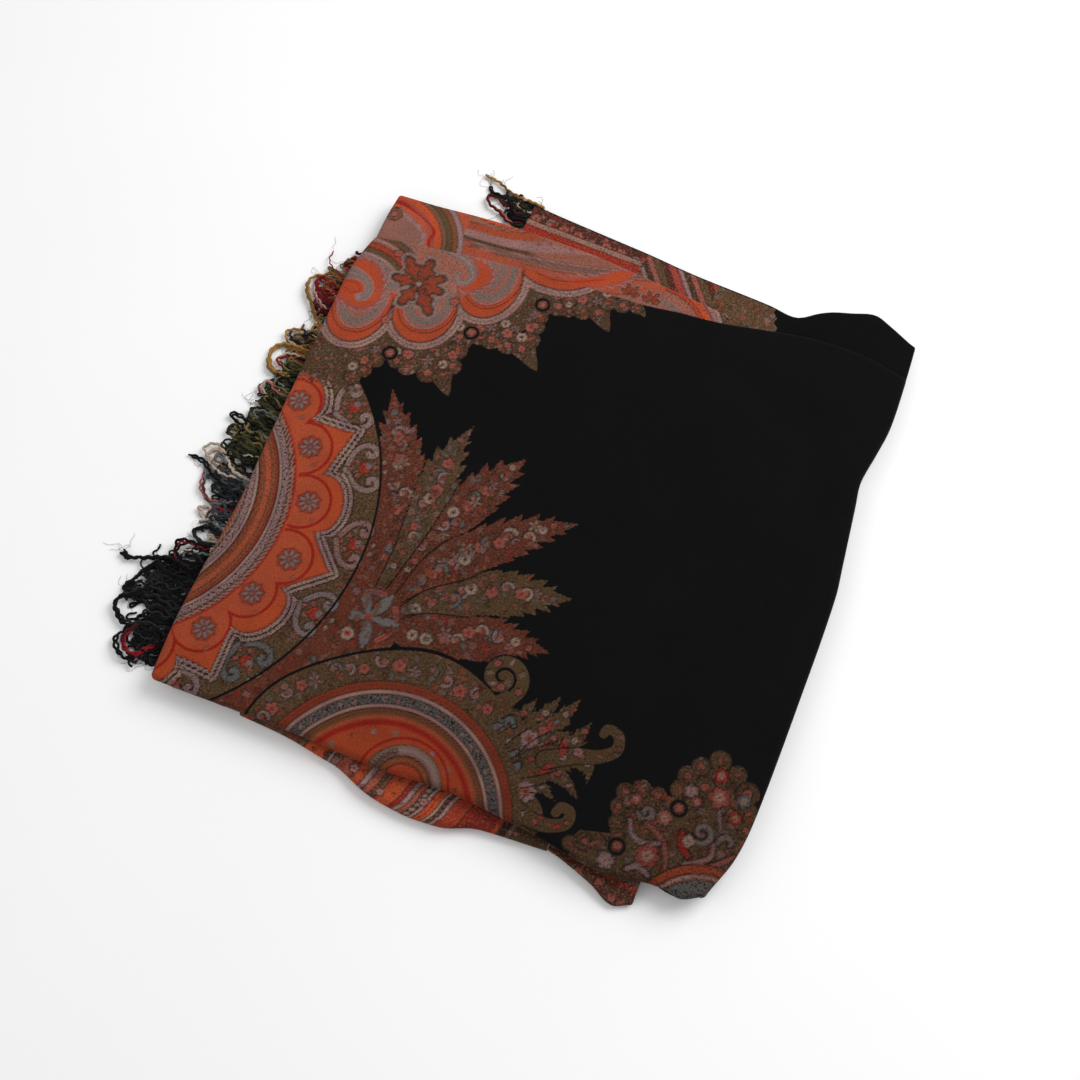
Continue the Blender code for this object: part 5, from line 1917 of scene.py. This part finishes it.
def fray_path(tip, heading, rng):
    """A fine loose hair that curls away from a yarn's end."""
    steps = int(rng.uniform(7, 17))
    t = np.linspace(0, 1, steps)
    turned = heading + rng.normal(0, 0.7) + rng.normal(0, 2.2) * t + 0.5 * np.sin(t * 9 + rng.uniform(0, 6))
    x = tip[0] + np.cumsum(np.cos(turned)) * FRAY_STEP
    y = tip[1] + np.cumsum(np.sin(turned)) * FRAY_STEP
    return np.stack([x, y, mix(tip[2], 0.5, smooth(0, 0.7, t))], axis=1)


def yarn_tube(path, wide, thin, twist, pick, sides):
    """A two-ply yarn: an oval tube whose section turns as it goes along."""
    heading = heading_along(path)
    aside = np.cross(heading, (0.0, 0.0, 1.0))
    aside /= np.linalg.norm(aside, axis=1)[:, None] + 1e-9
    above = np.cross(aside, heading)
    gone = np.concatenate([[0], np.cumsum(np.linalg.norm(np.diff(path, axis=0), axis=1))])
    turn = twist + math.tau * gone / PLY_TWIST
    around = np.arange(sides) / sides * math.tau
    swell = mix(1.0, YARN_TAPER, gone / gone[-1])[:, None]
    across, up = wide * swell * np.cos(around), thin * swell * np.sin(around)
    cos, sin = np.cos(turn)[:, None], np.sin(turn)[:, None]
    sideways, upwards = across * cos - up * sin, across * sin + up * cos
    points = path[:, None] + aside[:, None] * sideways[..., None] + above[:, None] * upwards[..., None]
    along = np.broadcast_to((gone * MM)[:, None], across.shape)
    round_it = np.broadcast_to((around / math.tau * 0.003)[None], across.shape)
    picks = np.full(across.shape, pick)
    return points.reshape(-1, 3), np.stack([along, round_it, picks], -1).reshape(-1, 3)


def fringe_yarns(run, rng):
    """Every yarn of a run: its path, half width and dye."""
    dyes = run.dyes.split()
    for k in range(run.locks):
        share = (k + 0.5 + rng.uniform(-0.4, 0.4)) / run.locks
        together = int(cell_noise(k // 4, 0, run.seed) * len(dyes)) % len(dyes)
        dyed = dyes[together] if rng.uniform() < 0.6 else rng.choice(dyes)
        yield tangle_path(run, share, rng), rng.uniform(1.05, 1.5), dyed
    for yarns, wide, way in STRANDS[run.node]:
        for dyed in yarns.split():
            yield strand_path(run, way, rng), wide * rng.uniform(1.3, 1.65), dyed


def make_fringe(run, material):
    rng = seeded(run.seed)
    points, places, faces, start = [], [], [], 0
    for path, wide, dyed in fringe_yarns(run, rng):
        pick = (list(YARN_DYES).index(dyed) + rng.uniform(0.2, 0.8)) / len(YARN_DYES)
        ends = path[-1] - path[-3]
        tubes = [(path, wide, wide * 0.84, PLY_SIDES)]
        tubes += [
            (fray_path(path[-1], math.atan2(ends[1], ends[0]), rng), 0.16, 0.12, FRAY_SIDES)
            for _ in range(rng.integers(0, 3))
        ]
        for line, broad, thin, sides in tubes:
            tube, place = yarn_tube(line, broad, thin, rng.uniform(0, 6), pick, sides)
            faces += ring_faces(start + np.arange(len(tube)).reshape(-1, sides))
            points.append(tube)
            places.append(place)
            start += len(tube)
    points, places = np.concatenate(points), np.concatenate(places)
    points[:, 2] = np.maximum(points[:, 2], 0.12)
    mesh = mesh_of(run.node + "_yarn", points, faces)
    keep_on_points(mesh, "cloth", places)
    return add_piece(mesh, material, run.slot, run.node)


# ---------------- the shawl

cloth_finish = twill_cloth("woven_wool")
top_finish = twill_cloth("woven_wool_top", deepening=0.5)
top_cloth = weave_stretch(TOP_PANEL, draw_top, top_finish, "top_panel")
second_cloth = weave_stretch(SECOND, draw_second, cloth_finish, "second_stretch")
third_cloth = weave_stretch(THIRD, draw_third, cloth_finish, "third_stretch")
roll_cloth = weave_stretch(ROLL, draw_roll, cloth_finish, "front_roll")
flap_cloth = weave_stretch(FLAP, draw_flap, cloth_finish, "front_flap")
folded_layers = fold_stack(draw_stack, cloth_finish)

yarn_finish = wool_yarn("plied_wool_yarn")
yarns = {run.node: make_fringe(run, yarn_finish) for run in FRINGE_RUNS}


# ---------------- camera, table and light

VIEW_TURN, VIEW_RISE = math.radians(22), math.radians(67)
FRAME_WIDTH, LENS, SENSOR = 0.83, 50, 36

back = Vector((
    math.sin(VIEW_TURN) * math.cos(VIEW_RISE),
    -math.cos(VIEW_TURN) * math.cos(VIEW_RISE),
    math.sin(VIEW_RISE),
))
aside = Vector((math.cos(VIEW_TURN), math.sin(VIEW_TURN), 0))
camera_data = bpy.data.cameras.new("camera")
camera_data.lens, camera_data.sensor_width = LENS, SENSOR
camera = set_out("camera", camera_data)
turned = Matrix((aside, back.cross(aside), back)).transposed().to_4x4()
camera.matrix_world = Matrix.Translation(back * FRAME_WIDTH * LENS / SENSOR) @ turned
bpy.context.scene.camera = camera

floor_mesh = bpy.data.meshes.new("table_top")
bm = bmesh.new()
bmesh.ops.create_grid(bm, x_segments=2, y_segments=2, size=4.0)
bm.to_mesh(floor_mesh)
bm.free()
floor = set_out("table_top", floor_mesh)
table_finish = Finish("pale_table", roughness=0.95, specular=0.1)
spot = table_finish.out(table_finish.node("ShaderNodeTexCoord", {}, {}), "Object")
mottle = table_finish.noise(spot, 6.0, 3.0)
table_finish.feed("Base Color", table_finish.blend(mottle, (0.93, 0.93, 0.93), (0.95, 0.95, 0.95)))
floor_mesh.materials.append(table_finish.material)
floor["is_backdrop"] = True

LAMPS = (("window", (1.05, 1.3, 1.6), 1.5, 41), ("reflector", (-1.6, -0.9, 1.6), 1.8, 7))
for name, place, size, power in LAMPS:
    lamp = bpy.data.lights.new(name, "AREA")
    lamp.size, lamp.energy = size, power
    light = set_out(name, lamp)
    light.location = place
    light.rotation_euler = (-Vector(place)).to_track_quat("-Z", "Y").to_euler()

world = bpy.data.worlds.new("soft_room")
world.use_nodes = True
background = world.node_tree.nodes["Background"]
background.inputs["Color"].default_value = (1, 1, 1, 1)
background.inputs["Strength"].default_value = 0.54
bpy.context.scene.world = world
bpy.context.scene.view_settings.view_transform = "Standard"

boxes = {"cad": CAD_BOX, "visual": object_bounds()}
{name: [list(corner) for corner in box] for name, box in boxes.items()}
